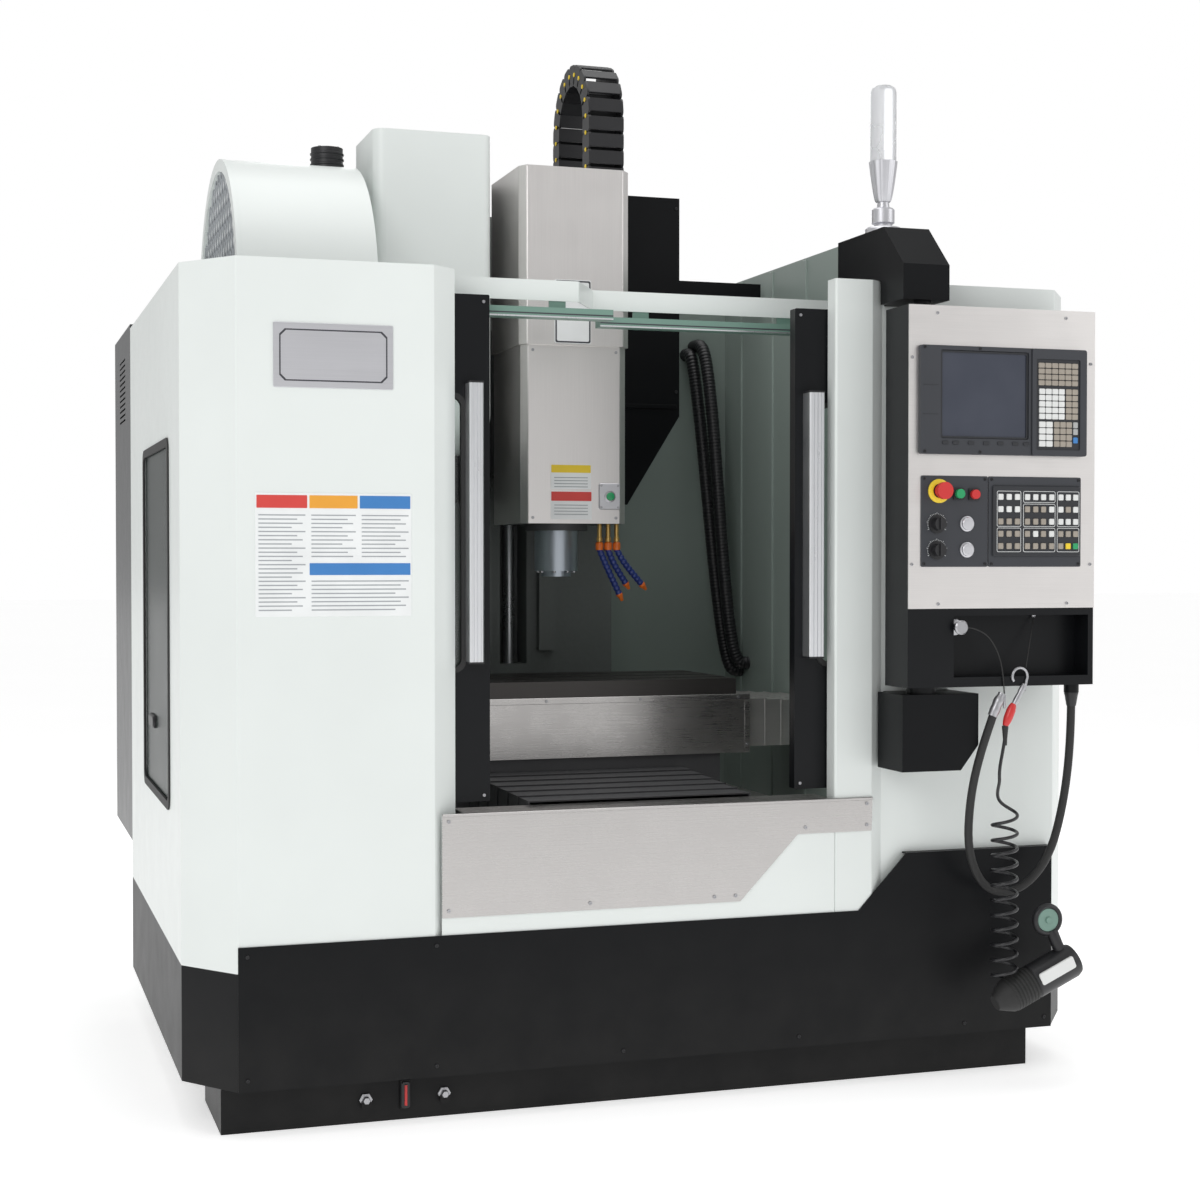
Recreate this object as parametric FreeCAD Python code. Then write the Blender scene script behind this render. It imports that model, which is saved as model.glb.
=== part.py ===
import FreeCAD, Part

import math
import os

# Vertical machining centre. Millimetres; X is across the front, Y runs from front to back and Z is up.
# The origin lies on the floor, midway across the enclosure.

V = FreeCAD.Vector
AXES = {"x": V(1, 0, 0), "y": V(0, 1, 0), "z": V(0, 0, 1)}

# Driving dimensions: enclosure
ENCLOSURE_WIDTH = 2212.0
ENCLOSURE_FRONT = -1000.0
ENCLOSURE_BACK = 431.0
CORNER_WIDTH = 106.0
CORNER_DEPTH = 140.0
SKIRT_BOTTOM = 105.0
CABINET_BOTTOM = 363.0
CABINET_TOP = 1916.0
RIGHT_CABINET_RISE = 14.0
SHEET = 3.0
BEND = 3.0
FLANGE = 40.0
OPENING_LEFT = -505.0
OPENING_RIGHT = 413.0
PAN_HEIGHT = 560.0
PAN_SHEET = 6.0

# Driving dimensions: machine
BASE_LEFT = -400.0
BASE_RIGHT = 320.0
BASE_FRONT = -650.0
BASE_BACK = 950.0
FOOT_HEIGHT = 30.0
FOOT_RADIUS = 60.0
ANCHOR_RADIUS = 9.0
SPINDLE_X = -40.0
SPINDLE_Y = -200.0
WAY_HEIGHT = 40.0
COLUMN_FRONT = 230.0
COLUMN_DEPTH = 570.0
COLUMN_TOP = 2250.0
TABLE_LENGTH = 760.0
TABLE_WIDTH = 400.0
TABLE_TOP = 946.0
TABLE_PLATE = 86.0
SLOT_WIDTH = 18.0
SLOT_PITCH = 125.0
SCREW_RADIUS = 16.0
TRAVEL_X = (-362.0, 238.0)
TRAVEL_Y = (-200.0, 200.0)
TRAVEL_Z = (-175.0, 325.0)

# Driving dimensions: operator panel
PIVOT_X = 597.0
PIVOT_Y = -1085.0
PIN_RADIUS = 20.0
PANEL_LEFT = 530.0
PANEL_RIGHT = 1024.0
PANEL_FRONT = -1147.0
PANEL_DEPTH = 117.0
PANEL_HEIGHT = 893.0
PANEL_DROP = 61.0

# Clearances: turning pins, sliding parts and sheet beside a moving part
PIN_GAP = 0.05
RUN_GAP = 0.3

HALF_WIDTH = ENCLOSURE_WIDTH / 2
FRONT_HALF = HALF_WIDTH - CORNER_WIDTH
CORNER_BACK = ENCLOSURE_FRONT + CORNER_DEPTH
RIGHT_TOP = CABINET_TOP + RIGHT_CABINET_RISE
RIGHT_PANEL_Y = ENCLOSURE_FRONT + 22
PAN_TOP = PAN_HEIGHT + PAN_SHEET
PANEL_TOP = CABINET_TOP - PANEL_DROP
PANEL_BOTTOM = PANEL_TOP - PANEL_HEIGHT
INNER_LEFT = -776.0
INNER_RIGHT = 700.0


# ---------------------------------------------------------------- shape helpers

def box(x0, x1, y0, y1, z0, z1):
    return Part.makeBox(x1 - x0, y1 - y0, z1 - z0, V(x0, y0, z0))


def rod(x, y, z, axis, length, radius):
    """Cylinder standing on x, y, z along axis."""
    return Part.makeCylinder(radius, length, V(x, y, z), AXES[axis])


def cone(x, y, z, axis, length, radius, end_radius):
    return Part.makeCone(radius, end_radius, length, V(x, y, z), AXES[axis])


def joined(first, *others):
    return first.fuse(list(others)).removeSplitter()


def less(body, *tools):
    return body.cut(list(tools))


def lift(axis, at, a, b):
    """The point a, b of the plane that lies across axis at the distance at."""
    if axis == "x":
        return V(at, a, b)
    if axis == "y":
        return V(a, at, b)
    return V(a, b, at)


def prism(outline, axis, start, end):
    """Solid with a straight-sided outline, from start to end along axis."""
    corners = [lift(axis, start, a, b) for a, b in outline]
    face = Part.Face(Part.makePolygon(corners + corners[:1]))
    return face.extrude(AXES[axis] * (end - start))


def bent(points, radii):
    """Straight edges through the points, with a tangent arc at each inner point."""
    edges = []
    start = points[0]
    for i, radius in enumerate(radii, 1):
        back = (points[i - 1] - points[i]).normalize()
        ahead = (points[i + 1] - points[i]).normalize()
        half_turn = (math.pi - back.getAngle(ahead)) / 2
        setback = radius * math.tan(half_turn)
        near = points[i] + back * setback
        far = points[i] + ahead * setback
        crest = points[i] + (back + ahead).normalize() * (radius / math.cos(half_turn) - radius)
        edges.append(Part.LineSegment(start, near).toShape())
        edges.append(Part.Arc(near, crest, far).toShape())
        start = far
    edges.append(Part.LineSegment(start, points[-1]).toShape())
    return edges


def folded(line, thickness, axis, start, end):
    """Sheet bent along line; it thickens to the side axis x direction, or away from it if negative."""
    outer = [lift(axis, start, a, b) for a, b in line]
    ways = [(q - p).normalize() for p, q in zip(outer, outer[1:])]
    sides = [AXES[axis].cross(way) for way in ways]
    inner = [outer[0] + sides[0] * thickness]
    outer_radii = []
    inner_radii = []
    for i, corner in enumerate(outer[1:-1]):
        mean = (sides[i] + sides[i + 1]).normalize()
        inner.append(corner + mean * (thickness / mean.dot(sides[i])))
        towards = ways[i + 1].dot(sides[i]) * thickness > 0
        outer_radii.append(BEND + abs(thickness) if towards else BEND)
        inner_radii.append(BEND if towards else BEND + abs(thickness))
    inner.append(outer[-1] + sides[-1] * thickness)
    edges = bent(outer, outer_radii)
    edges.append(Part.LineSegment(outer[-1], inner[-1]).toShape())
    edges += bent(inner[::-1], inner_radii[::-1])
    edges.append(Part.LineSegment(inner[0], outer[0]).toShape())
    return Part.Face(Part.Wire(edges)).extrude(AXES[axis] * (end - start))


def inside(line, thickness):
    """The line's corners moved to the side by thickness, for what fits within a folded sheet."""
    points = [V(a, b, 0) for a, b in line]
    sides = [AXES["z"].cross((q - p).normalize()) for p, q in zip(points, points[1:])]
    moved = [points[0] + sides[0] * thickness]
    for i, corner in enumerate(points[1:-1]):
        mean = (sides[i] + sides[i + 1]).normalize()
        moved.append(corner + mean * (thickness / mean.dot(sides[i])))
    moved.append(points[-1] + sides[-1] * thickness)
    return [(p.x, p.y) for p in moved]


def hose(name, route, radius):
    """Round hose along a hand-laid route, each bend as wide as its two runs allow."""
    points = [V(*p) for p in route]
    radii = []
    for before, here, after in zip(points, points[1:], points[2:]):
        shorter = min((here - before).Length, (after - here).Length)
        half_turn = (after - here).getAngle(here - before) / 2
        radii.append(0.45 * shorter / math.tan(half_turn))
    spine = Part.Wire(bent(points, radii))
    ring = Part.Wire(Part.makeCircle(radius, points[0], points[1] - points[0]))
    solid = spine.makePipeShell([ring], True, True)
    ratio = solid.Volume / (math.pi * radius ** 2 * spine.Length)
    print(name, "bend radii", [round(r) for r in radii], "volume ratio", round(ratio, 4))
    return solid


def save(name, shape):
    shape.exportStep(os.path.join("parts", name + ".step"))


# ---------------------------------------------------------------- base, feet and coolant tank

FEET_X = (BASE_LEFT + 50, SPINDLE_X, BASE_RIGHT - 50)
FEET_Y = (BASE_FRONT + 75, BASE_BACK - 75)
Y_WAYS = ((SPINDLE_X - 260, SPINDLE_X - 180), (SPINDLE_X + 180, SPINDLE_X + 260))
WAY_TOP = PAN_HEIGHT + WAY_HEIGHT
SCREW_Z = PAN_HEIGHT - 30
Y_CHANNEL = (BASE_FRONT + 50, COLUMN_FRONT + 70)
CHANNEL_HALF = 40.0
BEARING = 30.0
CHANNEL_DEPTH = 60.0
BASE_WALL = 40.0
BASE_ROOF = 100.0
RIBS = [FEET_Y[0] + FOOT_RADIUS + (FEET_Y[1] - FEET_Y[0] - 2 * FOOT_RADIUS) * i / 3 for i in range(4)]


def base_casting():
    body = box(BASE_LEFT, BASE_RIGHT, BASE_FRONT, BASE_BACK, FOOT_HEIGHT, PAN_HEIGHT)
    ways = [box(x0, x1, BASE_FRONT + 10, COLUMN_FRONT, PAN_HEIGHT, WAY_TOP) for x0, x1 in Y_WAYS]
    body = joined(body, *ways)
    channel = box(SPINDLE_X - CHANNEL_HALF, SPINDLE_X + CHANNEL_HALF, *Y_CHANNEL,
                  PAN_HEIGHT - CHANNEL_DEPTH, PAN_HEIGHT)
    length = Y_CHANNEL[1] - Y_CHANNEL[0] + 2 * BEARING
    bore = rod(SPINDLE_X, Y_CHANNEL[0] - BEARING, SCREW_Z, "y", length, SCREW_RADIUS + PIN_GAP)
    rooms = []
    for front, back in zip(RIBS, RIBS[1:]):
        rooms.append(box(BASE_LEFT + BASE_WALL, BASE_RIGHT - BASE_WALL, front + BASE_WALL / 2,
                         back - BASE_WALL / 2, FOOT_HEIGHT, PAN_HEIGHT - BASE_ROOF))
    return less(body, channel, bore, *rooms)


def y_screw():
    length = Y_CHANNEL[1] - Y_CHANNEL[0] + 2 * BEARING - 2 * RUN_GAP
    return rod(SPINDLE_X, Y_CHANNEL[0] - BEARING + RUN_GAP, SCREW_Z, "y", length, SCREW_RADIUS)


def levelling_feet():
    pads = []
    for x in FEET_X:
        for y in FEET_Y:
            pad = rod(x, y, 0, "z", FOOT_HEIGHT / 2, FOOT_RADIUS)
            stud = rod(x, y, FOOT_HEIGHT / 2, "z", FOOT_HEIGHT / 2, FOOT_RADIUS / 2)
            pads.append(less(joined(pad, stud), rod(x, y, -1, "z", FOOT_HEIGHT + 2, ANCHOR_RADIUS)))
    return Part.makeCompound(pads)


TANK_LEFT = -HALF_WIDTH + 75
TANK_RIGHT = HALF_WIDTH - 142
TANK_FRONT = ENCLOSURE_FRONT + 56
TANK_WALL = 4.0
GAUGE_X = -620.0
PLUG_DROP = 38.0


def coolant_tank():
    outer = box(TANK_LEFT, TANK_RIGHT, TANK_FRONT, BASE_FRONT, 0, SKIRT_BOTTOM)
    inner = box(TANK_LEFT + TANK_WALL, TANK_RIGHT - TANK_WALL, TANK_FRONT + TANK_WALL,
                BASE_FRONT - TANK_WALL, TANK_WALL, SKIRT_BOTTOM)
    gauge = box(GAUGE_X - 12, GAUGE_X + 12, TANK_FRONT - 8, TANK_FRONT, 25, SKIRT_BOTTOM - 15)
    plugs = [rod(x, TANK_FRONT - 14, SKIRT_BOTTOM - PLUG_DROP - 25, "y", 14, 12)
             for x in (GAUGE_X - 90, GAUGE_X + 90)]
    return joined(less(outer, inner), gauge, *plugs)


# ---------------------------------------------------------------- column and its guard

COLUMN_LEFT = SPINDLE_X - 300
COLUMN_RIGHT = SPINDLE_X + 300
COLUMN_WAYS = ((SPINDLE_X - 120, SPINDLE_X - 70), (SPINDLE_X + 70, SPINDLE_X + 120))
COLUMN_WAY_DEPTH = 30.0
COLUMN_WAY_FRONT = COLUMN_FRONT - COLUMN_WAY_DEPTH
Z_CHANNEL = (TABLE_TOP + 14, COLUMN_TOP - 50)
Z_SCREW_Y = COLUMN_FRONT + 50
COLUMN_WALL = 60.0
ARM_Z = (1820.0, 1960.0)
DRUM_RIGHT = -590.0
GUARD_Y = 100.0
GUARD_TOP = 2310.0


def column():
    body = box(COLUMN_LEFT, COLUMN_RIGHT, COLUMN_FRONT, COLUMN_FRONT + COLUMN_DEPTH, PAN_HEIGHT, COLUMN_TOP)
    core = box(COLUMN_LEFT + COLUMN_WALL, COLUMN_RIGHT - COLUMN_WALL, COLUMN_FRONT + 160,
               COLUMN_FRONT + COLUMN_DEPTH - COLUMN_WALL, PAN_HEIGHT + COLUMN_WALL, COLUMN_TOP - COLUMN_WALL)
    vent = rod(SPINDLE_X, COLUMN_FRONT + COLUMN_DEPTH - COLUMN_WALL - 1, COLUMN_TOP - 300, "y",
               COLUMN_WALL + 2, 60)
    channel = box(SPINDLE_X - CHANNEL_HALF, SPINDLE_X + CHANNEL_HALF, COLUMN_FRONT, COLUMN_FRONT + 100, *Z_CHANNEL)
    bore = rod(SPINDLE_X, Z_SCREW_Y, Z_CHANNEL[0] - BEARING, "z",
               Z_CHANNEL[1] - Z_CHANNEL[0] + 2 * BEARING, SCREW_RADIUS + PIN_GAP)
    ways = [box(x0, x1, COLUMN_WAY_FRONT, COLUMN_FRONT, TABLE_TOP + 54, COLUMN_TOP - 10) for x0, x1 in COLUMN_WAYS]
    arm_outline = [(DRUM_RIGHT, GUARD_Y + 10), (DRUM_RIGHT + 30, GUARD_Y + 10), (COLUMN_LEFT, COLUMN_FRONT),
                   (COLUMN_LEFT, COLUMN_FRONT + 100), (DRUM_RIGHT, COLUMN_FRONT + 100)]
    changer_arm = prism(arm_outline, "z", *ARM_Z)
    return less(joined(body, changer_arm, *ways), core, vent, channel, bore)


def z_screw():
    length = Z_CHANNEL[1] - Z_CHANNEL[0] + 2 * BEARING - 2 * RUN_GAP
    return rod(SPINDLE_X, Z_SCREW_Y, Z_CHANNEL[0] - BEARING + RUN_GAP, "z", length, SCREW_RADIUS)


GUARD_GAP_HALF = 140.0
GUARD_REACH = 465.0
WING_REACH = 720.0


def column_guard():
    """Black sheet either side of the head's path, folded back to the column, with a wing to the right."""
    pieces = []
    for side in (-1, 1):
        near = SPINDLE_X + side * GUARD_GAP_HALF
        far = SPINDLE_X + side * GUARD_REACH
        slope = SPINDLE_X + side * (GUARD_GAP_HALF + 165)
        outline = [(near, GUARD_TOP), (far, GUARD_TOP), (far, 1679), (slope, 1421), (near, 1421)]
        pieces.append(prism(outline, "y", GUARD_Y, GUARD_Y + SHEET))
        edge = sorted((near, near + side * SHEET))
        pieces.append(box(*edge, GUARD_Y, COLUMN_FRONT, 1421, COLUMN_TOP))
    wing = box(SPINDLE_X + GUARD_REACH - 1, SPINDLE_X + WING_REACH, GUARD_Y, GUARD_Y + SHEET, 1990, 2073)
    return Part.makeCompound([pieces[0].fuse(pieces[1]), joined(pieces[2], pieces[3], wing)])


# ---------------------------------------------------------------- enclosure

LEFT_LINE = [(OPENING_LEFT, ENCLOSURE_FRONT + 45), (OPENING_LEFT - 58, ENCLOSURE_FRONT),
             (-FRONT_HALF, ENCLOSURE_FRONT), (-HALF_WIDTH, CORNER_BACK), (-HALF_WIDTH, ENCLOSURE_BACK)]
CORNER_SLOPE = CORNER_WIDTH / CORNER_DEPTH
RIGHT_LINE = [(OPENING_RIGHT, ENCLOSURE_FRONT + 45), (OPENING_RIGHT, ENCLOSURE_FRONT),
              (OPENING_RIGHT + 97, ENCLOSURE_FRONT), (OPENING_RIGHT + 132, RIGHT_PANEL_Y),
              (FRONT_HALF + (RIGHT_PANEL_Y - ENCLOSURE_FRONT) * CORNER_SLOPE, RIGHT_PANEL_Y),
              (HALF_WIDTH, CORNER_BACK), (HALF_WIDTH, ENCLOSURE_BACK)]
WINDOW_Y = (-620.0, -4.0)
WINDOW_Z = (693.0, 1530.0)
WINDOW_LAP = 20.0
GLASS = 4.0


def cabinet(line, thickness, top):
    wall = folded(line, thickness, "z", CABINET_BOTTOM, top)
    wide = math.copysign(FLANGE, thickness)
    flange = folded(line[2 if thickness > 0 else 1:], wide, "z", top - SHEET, top)
    return joined(wall, flange)


def left_cabinet():
    window = box(-HALF_WIDTH - 1, -HALF_WIDTH + SHEET + 1, *WINDOW_Y, *WINDOW_Z)
    return less(cabinet(LEFT_LINE, -SHEET, CABINET_TOP), window)


def right_cabinet():
    return cabinet(RIGHT_LINE, SHEET, RIGHT_TOP)


def side_window():
    return box(-HALF_WIDTH + SHEET, -HALF_WIDTH + SHEET + GLASS, WINDOW_Y[0] - WINDOW_LAP,
               WINDOW_Y[1] + WINDOW_LAP, WINDOW_Z[0] - WINDOW_LAP, WINDOW_Z[1] + WINDOW_LAP)


def rear_panels():
    left = box(-HALF_WIDTH, COLUMN_LEFT - 5, ENCLOSURE_BACK, ENCLOSURE_BACK + SHEET, SKIRT_BOTTOM, CABINET_TOP)
    right = box(COLUMN_RIGHT + 5, HALF_WIDTH, ENCLOSURE_BACK, ENCLOSURE_BACK + SHEET, SKIRT_BOTTOM, CABINET_TOP)
    base_side = box(BASE_LEFT - 1, BASE_RIGHT + 1, ENCLOSURE_BACK - 1, ENCLOSURE_BACK + SHEET + 1,
                    SKIRT_BOTTOM - 1, PAN_HEIGHT)
    raised = box(COLUMN_RIGHT + 5, INNER_RIGHT + SHEET, ENCLOSURE_BACK, ENCLOSURE_BACK + SHEET,
                 CABINET_TOP, RAISED_TOP)
    return Part.makeCompound([less(left, base_side), less(joined(right, raised), base_side)])


RAISED_FRONT = -600.0
RAISED_TOP = 2110.0
RIGHT_WALL_FRONT = ENCLOSURE_FRONT + 305


def inner_walls():
    left = box(INNER_LEFT - SHEET, INNER_LEFT, CORNER_BACK, ENCLOSURE_BACK, PAN_TOP, 1440)
    outline = [(RIGHT_WALL_FRONT, PAN_TOP), (ENCLOSURE_BACK, PAN_TOP), (ENCLOSURE_BACK, RAISED_TOP),
               (RAISED_FRONT, RAISED_TOP), (RIGHT_WALL_FRONT, CABINET_TOP)]
    return Part.makeCompound([left, prism(outline, "x", INNER_RIGHT, INNER_RIGHT + SHEET)])


def chip_pan():
    edge = SHEET + RUN_GAP
    outline = inside(LEFT_LINE, -edge) + inside(RIGHT_LINE[2:], edge)[::-1]
    outline.append((OPENING_RIGHT + edge, ENCLOSURE_FRONT + 45))
    well = box(COLUMN_LEFT - 5, COLUMN_RIGHT + 5, BASE_FRONT + 10, ENCLOSURE_BACK + 1, PAN_HEIGHT - 1, PAN_TOP + 1)
    return less(prism(outline, "z", PAN_HEIGHT, PAN_TOP), well)


STEP_LOW = 421.0
STEP_HIGH = 554.0
STEP_LEFT = 475.0
STEP_RIGHT = 602.0


def front_skirt():
    outline = [(-FRONT_HALF, SKIRT_BOTTOM), (FRONT_HALF, SKIRT_BOTTOM), (FRONT_HALF, STEP_HIGH),
               (STEP_RIGHT, STEP_HIGH), (STEP_LEFT, STEP_LOW), (-FRONT_HALF, STEP_LOW)]
    plate = prism(outline, "y", ENCLOSURE_FRONT - SHEET, ENCLOSURE_FRONT)
    ledge = box(STEP_RIGHT, FRONT_HALF, ENCLOSURE_FRONT, RIGHT_PANEL_Y, STEP_HIGH - SHEET, STEP_HIGH)
    return joined(plate, ledge)


def side_skirts():
    left = folded(LEFT_LINE[2:], -SHEET, "z", SKIRT_BOTTOM, CABINET_BOTTOM)
    right_line = [(FRONT_HALF, ENCLOSURE_FRONT), (HALF_WIDTH, CORNER_BACK), (HALF_WIDTH, ENCLOSURE_BACK)]
    right = folded(right_line, SHEET, "z", SKIRT_BOTTOM, CABINET_BOTTOM)
    return Part.makeCompound([left, right])


APRON_LEFT = OPENING_LEFT - 42
APRON_RIGHT = OPENING_RIGHT + 98
APRON_TOP = 693.0
APRON_LOW = 460.0
APRON_LEDGE = 100.0


def front_apron():
    outline = [(APRON_LEFT, APRON_TOP), (APRON_RIGHT, APRON_TOP), (APRON_RIGHT - 2, 612), (317, 612),
               (170, APRON_LOW), (APRON_LEFT, APRON_LOW)]
    plate = prism(outline, "y", ENCLOSURE_FRONT - SHEET, ENCLOSURE_FRONT)
    ledge = box(OPENING_LEFT + 10, OPENING_RIGHT - 10, ENCLOSURE_FRONT, ENCLOSURE_FRONT + APRON_LEDGE,
                APRON_TOP - SHEET, APRON_TOP)
    return joined(plate, ledge)


def front_panel():
    """Sheet between the cabinets, behind the apron and above the skirt."""
    return box(APRON_LEFT, OPENING_RIGHT - 0.5, ENCLOSURE_FRONT, ENCLOSURE_FRONT + SHEET,
               STEP_LOW - 6, APRON_TOP - SHEET)


BEAM_Z = (CABINET_TOP - 51, CABINET_TOP - SHEET)
BEAM_LEFT_Y = ENCLOSURE_FRONT + 130
BEAM_RIGHT_Y = ENCLOSURE_FRONT + 260
BEAM_TURN = (-185.0, -110.0)
RAIL_Z = (CABINET_TOP - 94, CABINET_TOP - 70)
LEFT_RAIL = (-HALF_WIDTH + 204, BEAM_TURN[1])
RIGHT_RAIL = (BEAM_TURN[1] + 10, 850.0)
RAIL_DEPTH = 30.0
TAB_DEPTH = 6.0
BEAM_LINE = [(-HALF_WIDTH + FLANGE / 2, BEAM_LEFT_Y), (BEAM_TURN[0], BEAM_LEFT_Y), (BEAM_TURN[1], BEAM_RIGHT_Y),
             (HALF_WIDTH - SHEET, BEAM_RIGHT_Y)]


def top_beam():
    face = folded(BEAM_LINE, SHEET, "z", *BEAM_Z)
    return joined(face, folded(BEAM_LINE, FLANGE, "z", BEAM_Z[1] - SHEET, BEAM_Z[1]))


def door_rails():
    """Each rail hangs from the back of the beam's face by tabs."""
    rails = []
    for span, beam_y in ((LEFT_RAIL, BEAM_LEFT_Y), (RIGHT_RAIL, BEAM_RIGHT_Y)):
        back = beam_y + SHEET + TAB_DEPTH
        bar = box(*span, beam_y - RAIL_DEPTH, back, *RAIL_Z)
        reach = min(span[1], BEAM_TURN[0]) if beam_y == BEAM_LEFT_Y else span[1]
        places = [span[0] + (reach - span[0]) * share for share in (0.1, 0.5, 0.9)]
        tabs = [box(x, x + 40, beam_y + SHEET, back, RAIL_Z[1], BEAM_Z[0] + 22) for x in places]
        rails.append(joined(bar, *tabs))
    return Part.makeCompound(rails)


# ---------------------------------------------------------------- doors

DOOR_FRONT = ENCLOSURE_FRONT + 52
DOOR_DEPTH = 30.0
DOOR_Z = (712.0, CABINET_TOP - 54)
DOOR_WIDTH = 480.0
LEFT_DOOR_X = -HALF_WIDTH + 204
RIGHT_DOOR_X = 331.0
STILE = 62.0
LIGHT_Z = (DOOR_Z[0] + 300, DOOR_Z[1] - 230)
HANDLE_DEPTH = 42.0
HANDLE_Z = (1027.0, 1663.0)


def door(x, hanger_xs, rail_back):
    """Door leaf with its pane, and the hangers that reach back under the rail."""
    back = DOOR_FRONT + DOOR_DEPTH
    leaf = box(x, x + DOOR_WIDTH, DOOR_FRONT, back, *DOOR_Z)
    light = box(x + STILE, x + DOOR_WIDTH - STILE, DOOR_FRONT - 1, back + 1, *LIGHT_Z)
    hangers = [box(h, h + 30, back, rail_back, RAIL_Z[0] - 32, RAIL_Z[0] - RUN_GAP) for h in hanger_xs]
    frame = joined(less(leaf, light), *hangers)
    middle = DOOR_FRONT + DOOR_DEPTH / 2
    pane = box(x + STILE, x + DOOR_WIDTH - STILE, middle - GLASS, middle + GLASS, *LIGHT_Z)
    return Part.makeCompound([frame, pane])


def left_door():
    return door(LEFT_DOOR_X, (LEFT_DOOR_X + 60, LEFT_DOOR_X + DOOR_WIDTH - 90), BEAM_LEFT_Y - 5)


def right_door():
    return door(RIGHT_DOOR_X, (RIGHT_DOOR_X, RIGHT_DOOR_X + DOOR_WIDTH - 60), BEAM_RIGHT_Y - 5)


def handle(x, width):
    """Extruded bar with a finger groove down its outer face."""
    bar = box(x, x + width, DOOR_FRONT - HANDLE_DEPTH, DOOR_FRONT, *HANDLE_Z)
    slot = box(x + 8, x + width, DOOR_FRONT - HANDLE_DEPTH + 10, DOOR_FRONT - 6, HANDLE_Z[0] - 1, HANDLE_Z[1] + 1)
    groove = box(x + 12, x + 18, DOOR_FRONT - HANDLE_DEPTH - 1, DOOR_FRONT - HANDLE_DEPTH + 2,
                 HANDLE_Z[0] - 1, HANDLE_Z[1] + 1)
    return less(bar, slot, groove)


# ---------------------------------------------------------------- saddle and table

SADDLE_Y = (SPINDLE_Y - TABLE_WIDTH / 2 + 10, SPINDLE_Y + TABLE_WIDTH / 2)
SADDLE_X = (SPINDLE_X - 400, SPINDLE_X + 400)
SADDLE_TOP = WAY_TOP + 160
X_WAYS = ((SPINDLE_Y - 140, SPINDLE_Y - 80), (SPINDLE_Y + 80, SPINDLE_Y + 140))
X_CHANNEL = (SADDLE_X[0] + 40, SADDLE_X[1] - 40)
X_SCREW_Z = SADDLE_TOP - 30
X_WAY_TOP = SADDLE_TOP + WAY_HEIGHT
NUT_HALF = 30.0
NUT_BORE = SCREW_RADIUS + RUN_GAP


def saddle():
    body = box(*SADDLE_X, *SADDLE_Y, WAY_TOP + RUN_GAP, SADDLE_TOP)
    ways = [box(*SADDLE_X, y0, y1, SADDLE_TOP, X_WAY_TOP) for y0, y1 in X_WAYS]
    gibs = [box(SADDLE_X[0], Y_WAYS[0][0] - RUN_GAP, *SADDLE_Y, PAN_TOP + 9, WAY_TOP + RUN_GAP),
            box(Y_WAYS[1][1] + RUN_GAP, SADDLE_X[1], *SADDLE_Y, PAN_TOP + 9, WAY_TOP + RUN_GAP)]
    nut = box(SPINDLE_X - NUT_HALF, SPINDLE_X + NUT_HALF, SPINDLE_Y - 40, SPINDLE_Y + 40,
              SCREW_Z - SCREW_RADIUS - 2, WAY_TOP + RUN_GAP)
    nut_bore = rod(SPINDLE_X, SPINDLE_Y - 41, SCREW_Z, "y", 82, NUT_BORE)
    channel = box(*X_CHANNEL, SPINDLE_Y - CHANNEL_HALF, SPINDLE_Y + CHANNEL_HALF,
                  SADDLE_TOP - CHANNEL_DEPTH, SADDLE_TOP)
    bore = rod(X_CHANNEL[0] - BEARING, SPINDLE_Y, X_SCREW_Z, "x",
               X_CHANNEL[1] - X_CHANNEL[0] + 2 * BEARING, SCREW_RADIUS + PIN_GAP)
    return less(joined(body, nut, *ways, *gibs), channel, bore, nut_bore)


def x_screw():
    length = X_CHANNEL[1] - X_CHANNEL[0] + 2 * BEARING - 2 * RUN_GAP
    return rod(X_CHANNEL[0] - BEARING + RUN_GAP, SPINDLE_Y, X_SCREW_Z, "x", length, SCREW_RADIUS)


TABLE_X = (22 - TABLE_LENGTH / 2, 22 + TABLE_LENGTH / 2)
TABLE_Y = (SPINDLE_Y - TABLE_WIDTH / 2, SPINDLE_Y + TABLE_WIDTH / 2)
PLATE_BOTTOM = TABLE_TOP - TABLE_PLATE
SLOT_YS = (SPINDLE_Y - SLOT_PITCH, SPINDLE_Y, SPINDLE_Y + SLOT_PITCH)


def table():
    plate = box(*TABLE_X, *TABLE_Y, PLATE_BOTTOM, TABLE_TOP)
    rails = [box(*TABLE_X, y0, y1, X_WAY_TOP + RUN_GAP, PLATE_BOTTOM) for y0, y1 in X_WAYS]
    centre = sum(TABLE_X) / 2
    nut = box(centre - NUT_HALF, centre + NUT_HALF, SPINDLE_Y - NUT_HALF, SPINDLE_Y + NUT_HALF,
              X_SCREW_Z - SCREW_RADIUS - 2, PLATE_BOTTOM)
    nut_bore = rod(centre - NUT_HALF - 1, SPINDLE_Y, X_SCREW_Z, "x", 2 * NUT_HALF + 2, NUT_BORE)
    slots = []
    for y in SLOT_YS:
        slots.append(box(TABLE_X[0] - 1, TABLE_X[1] + 1, y - SLOT_WIDTH / 2, y + SLOT_WIDTH / 2,
                         TABLE_TOP - 32, TABLE_TOP + 1))
        slots.append(box(TABLE_X[0] - 1, TABLE_X[1] + 1, y - 15, y + 15, TABLE_TOP - 32, TABLE_TOP - 20))
    return less(joined(plate, nut, *rails), nut_bore, *slots)


def table_guard():
    """Flat splash plate on the table's front face."""
    return box(TABLE_X[0] - 42, TABLE_X[1] + 38, TABLE_Y[0] - 4, TABLE_Y[0], 747, TABLE_TOP - 42)


COVER_Z = (SADDLE_TOP + RUN_GAP, TABLE_TOP - 53)
COVER_SHEET = 2.0


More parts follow.
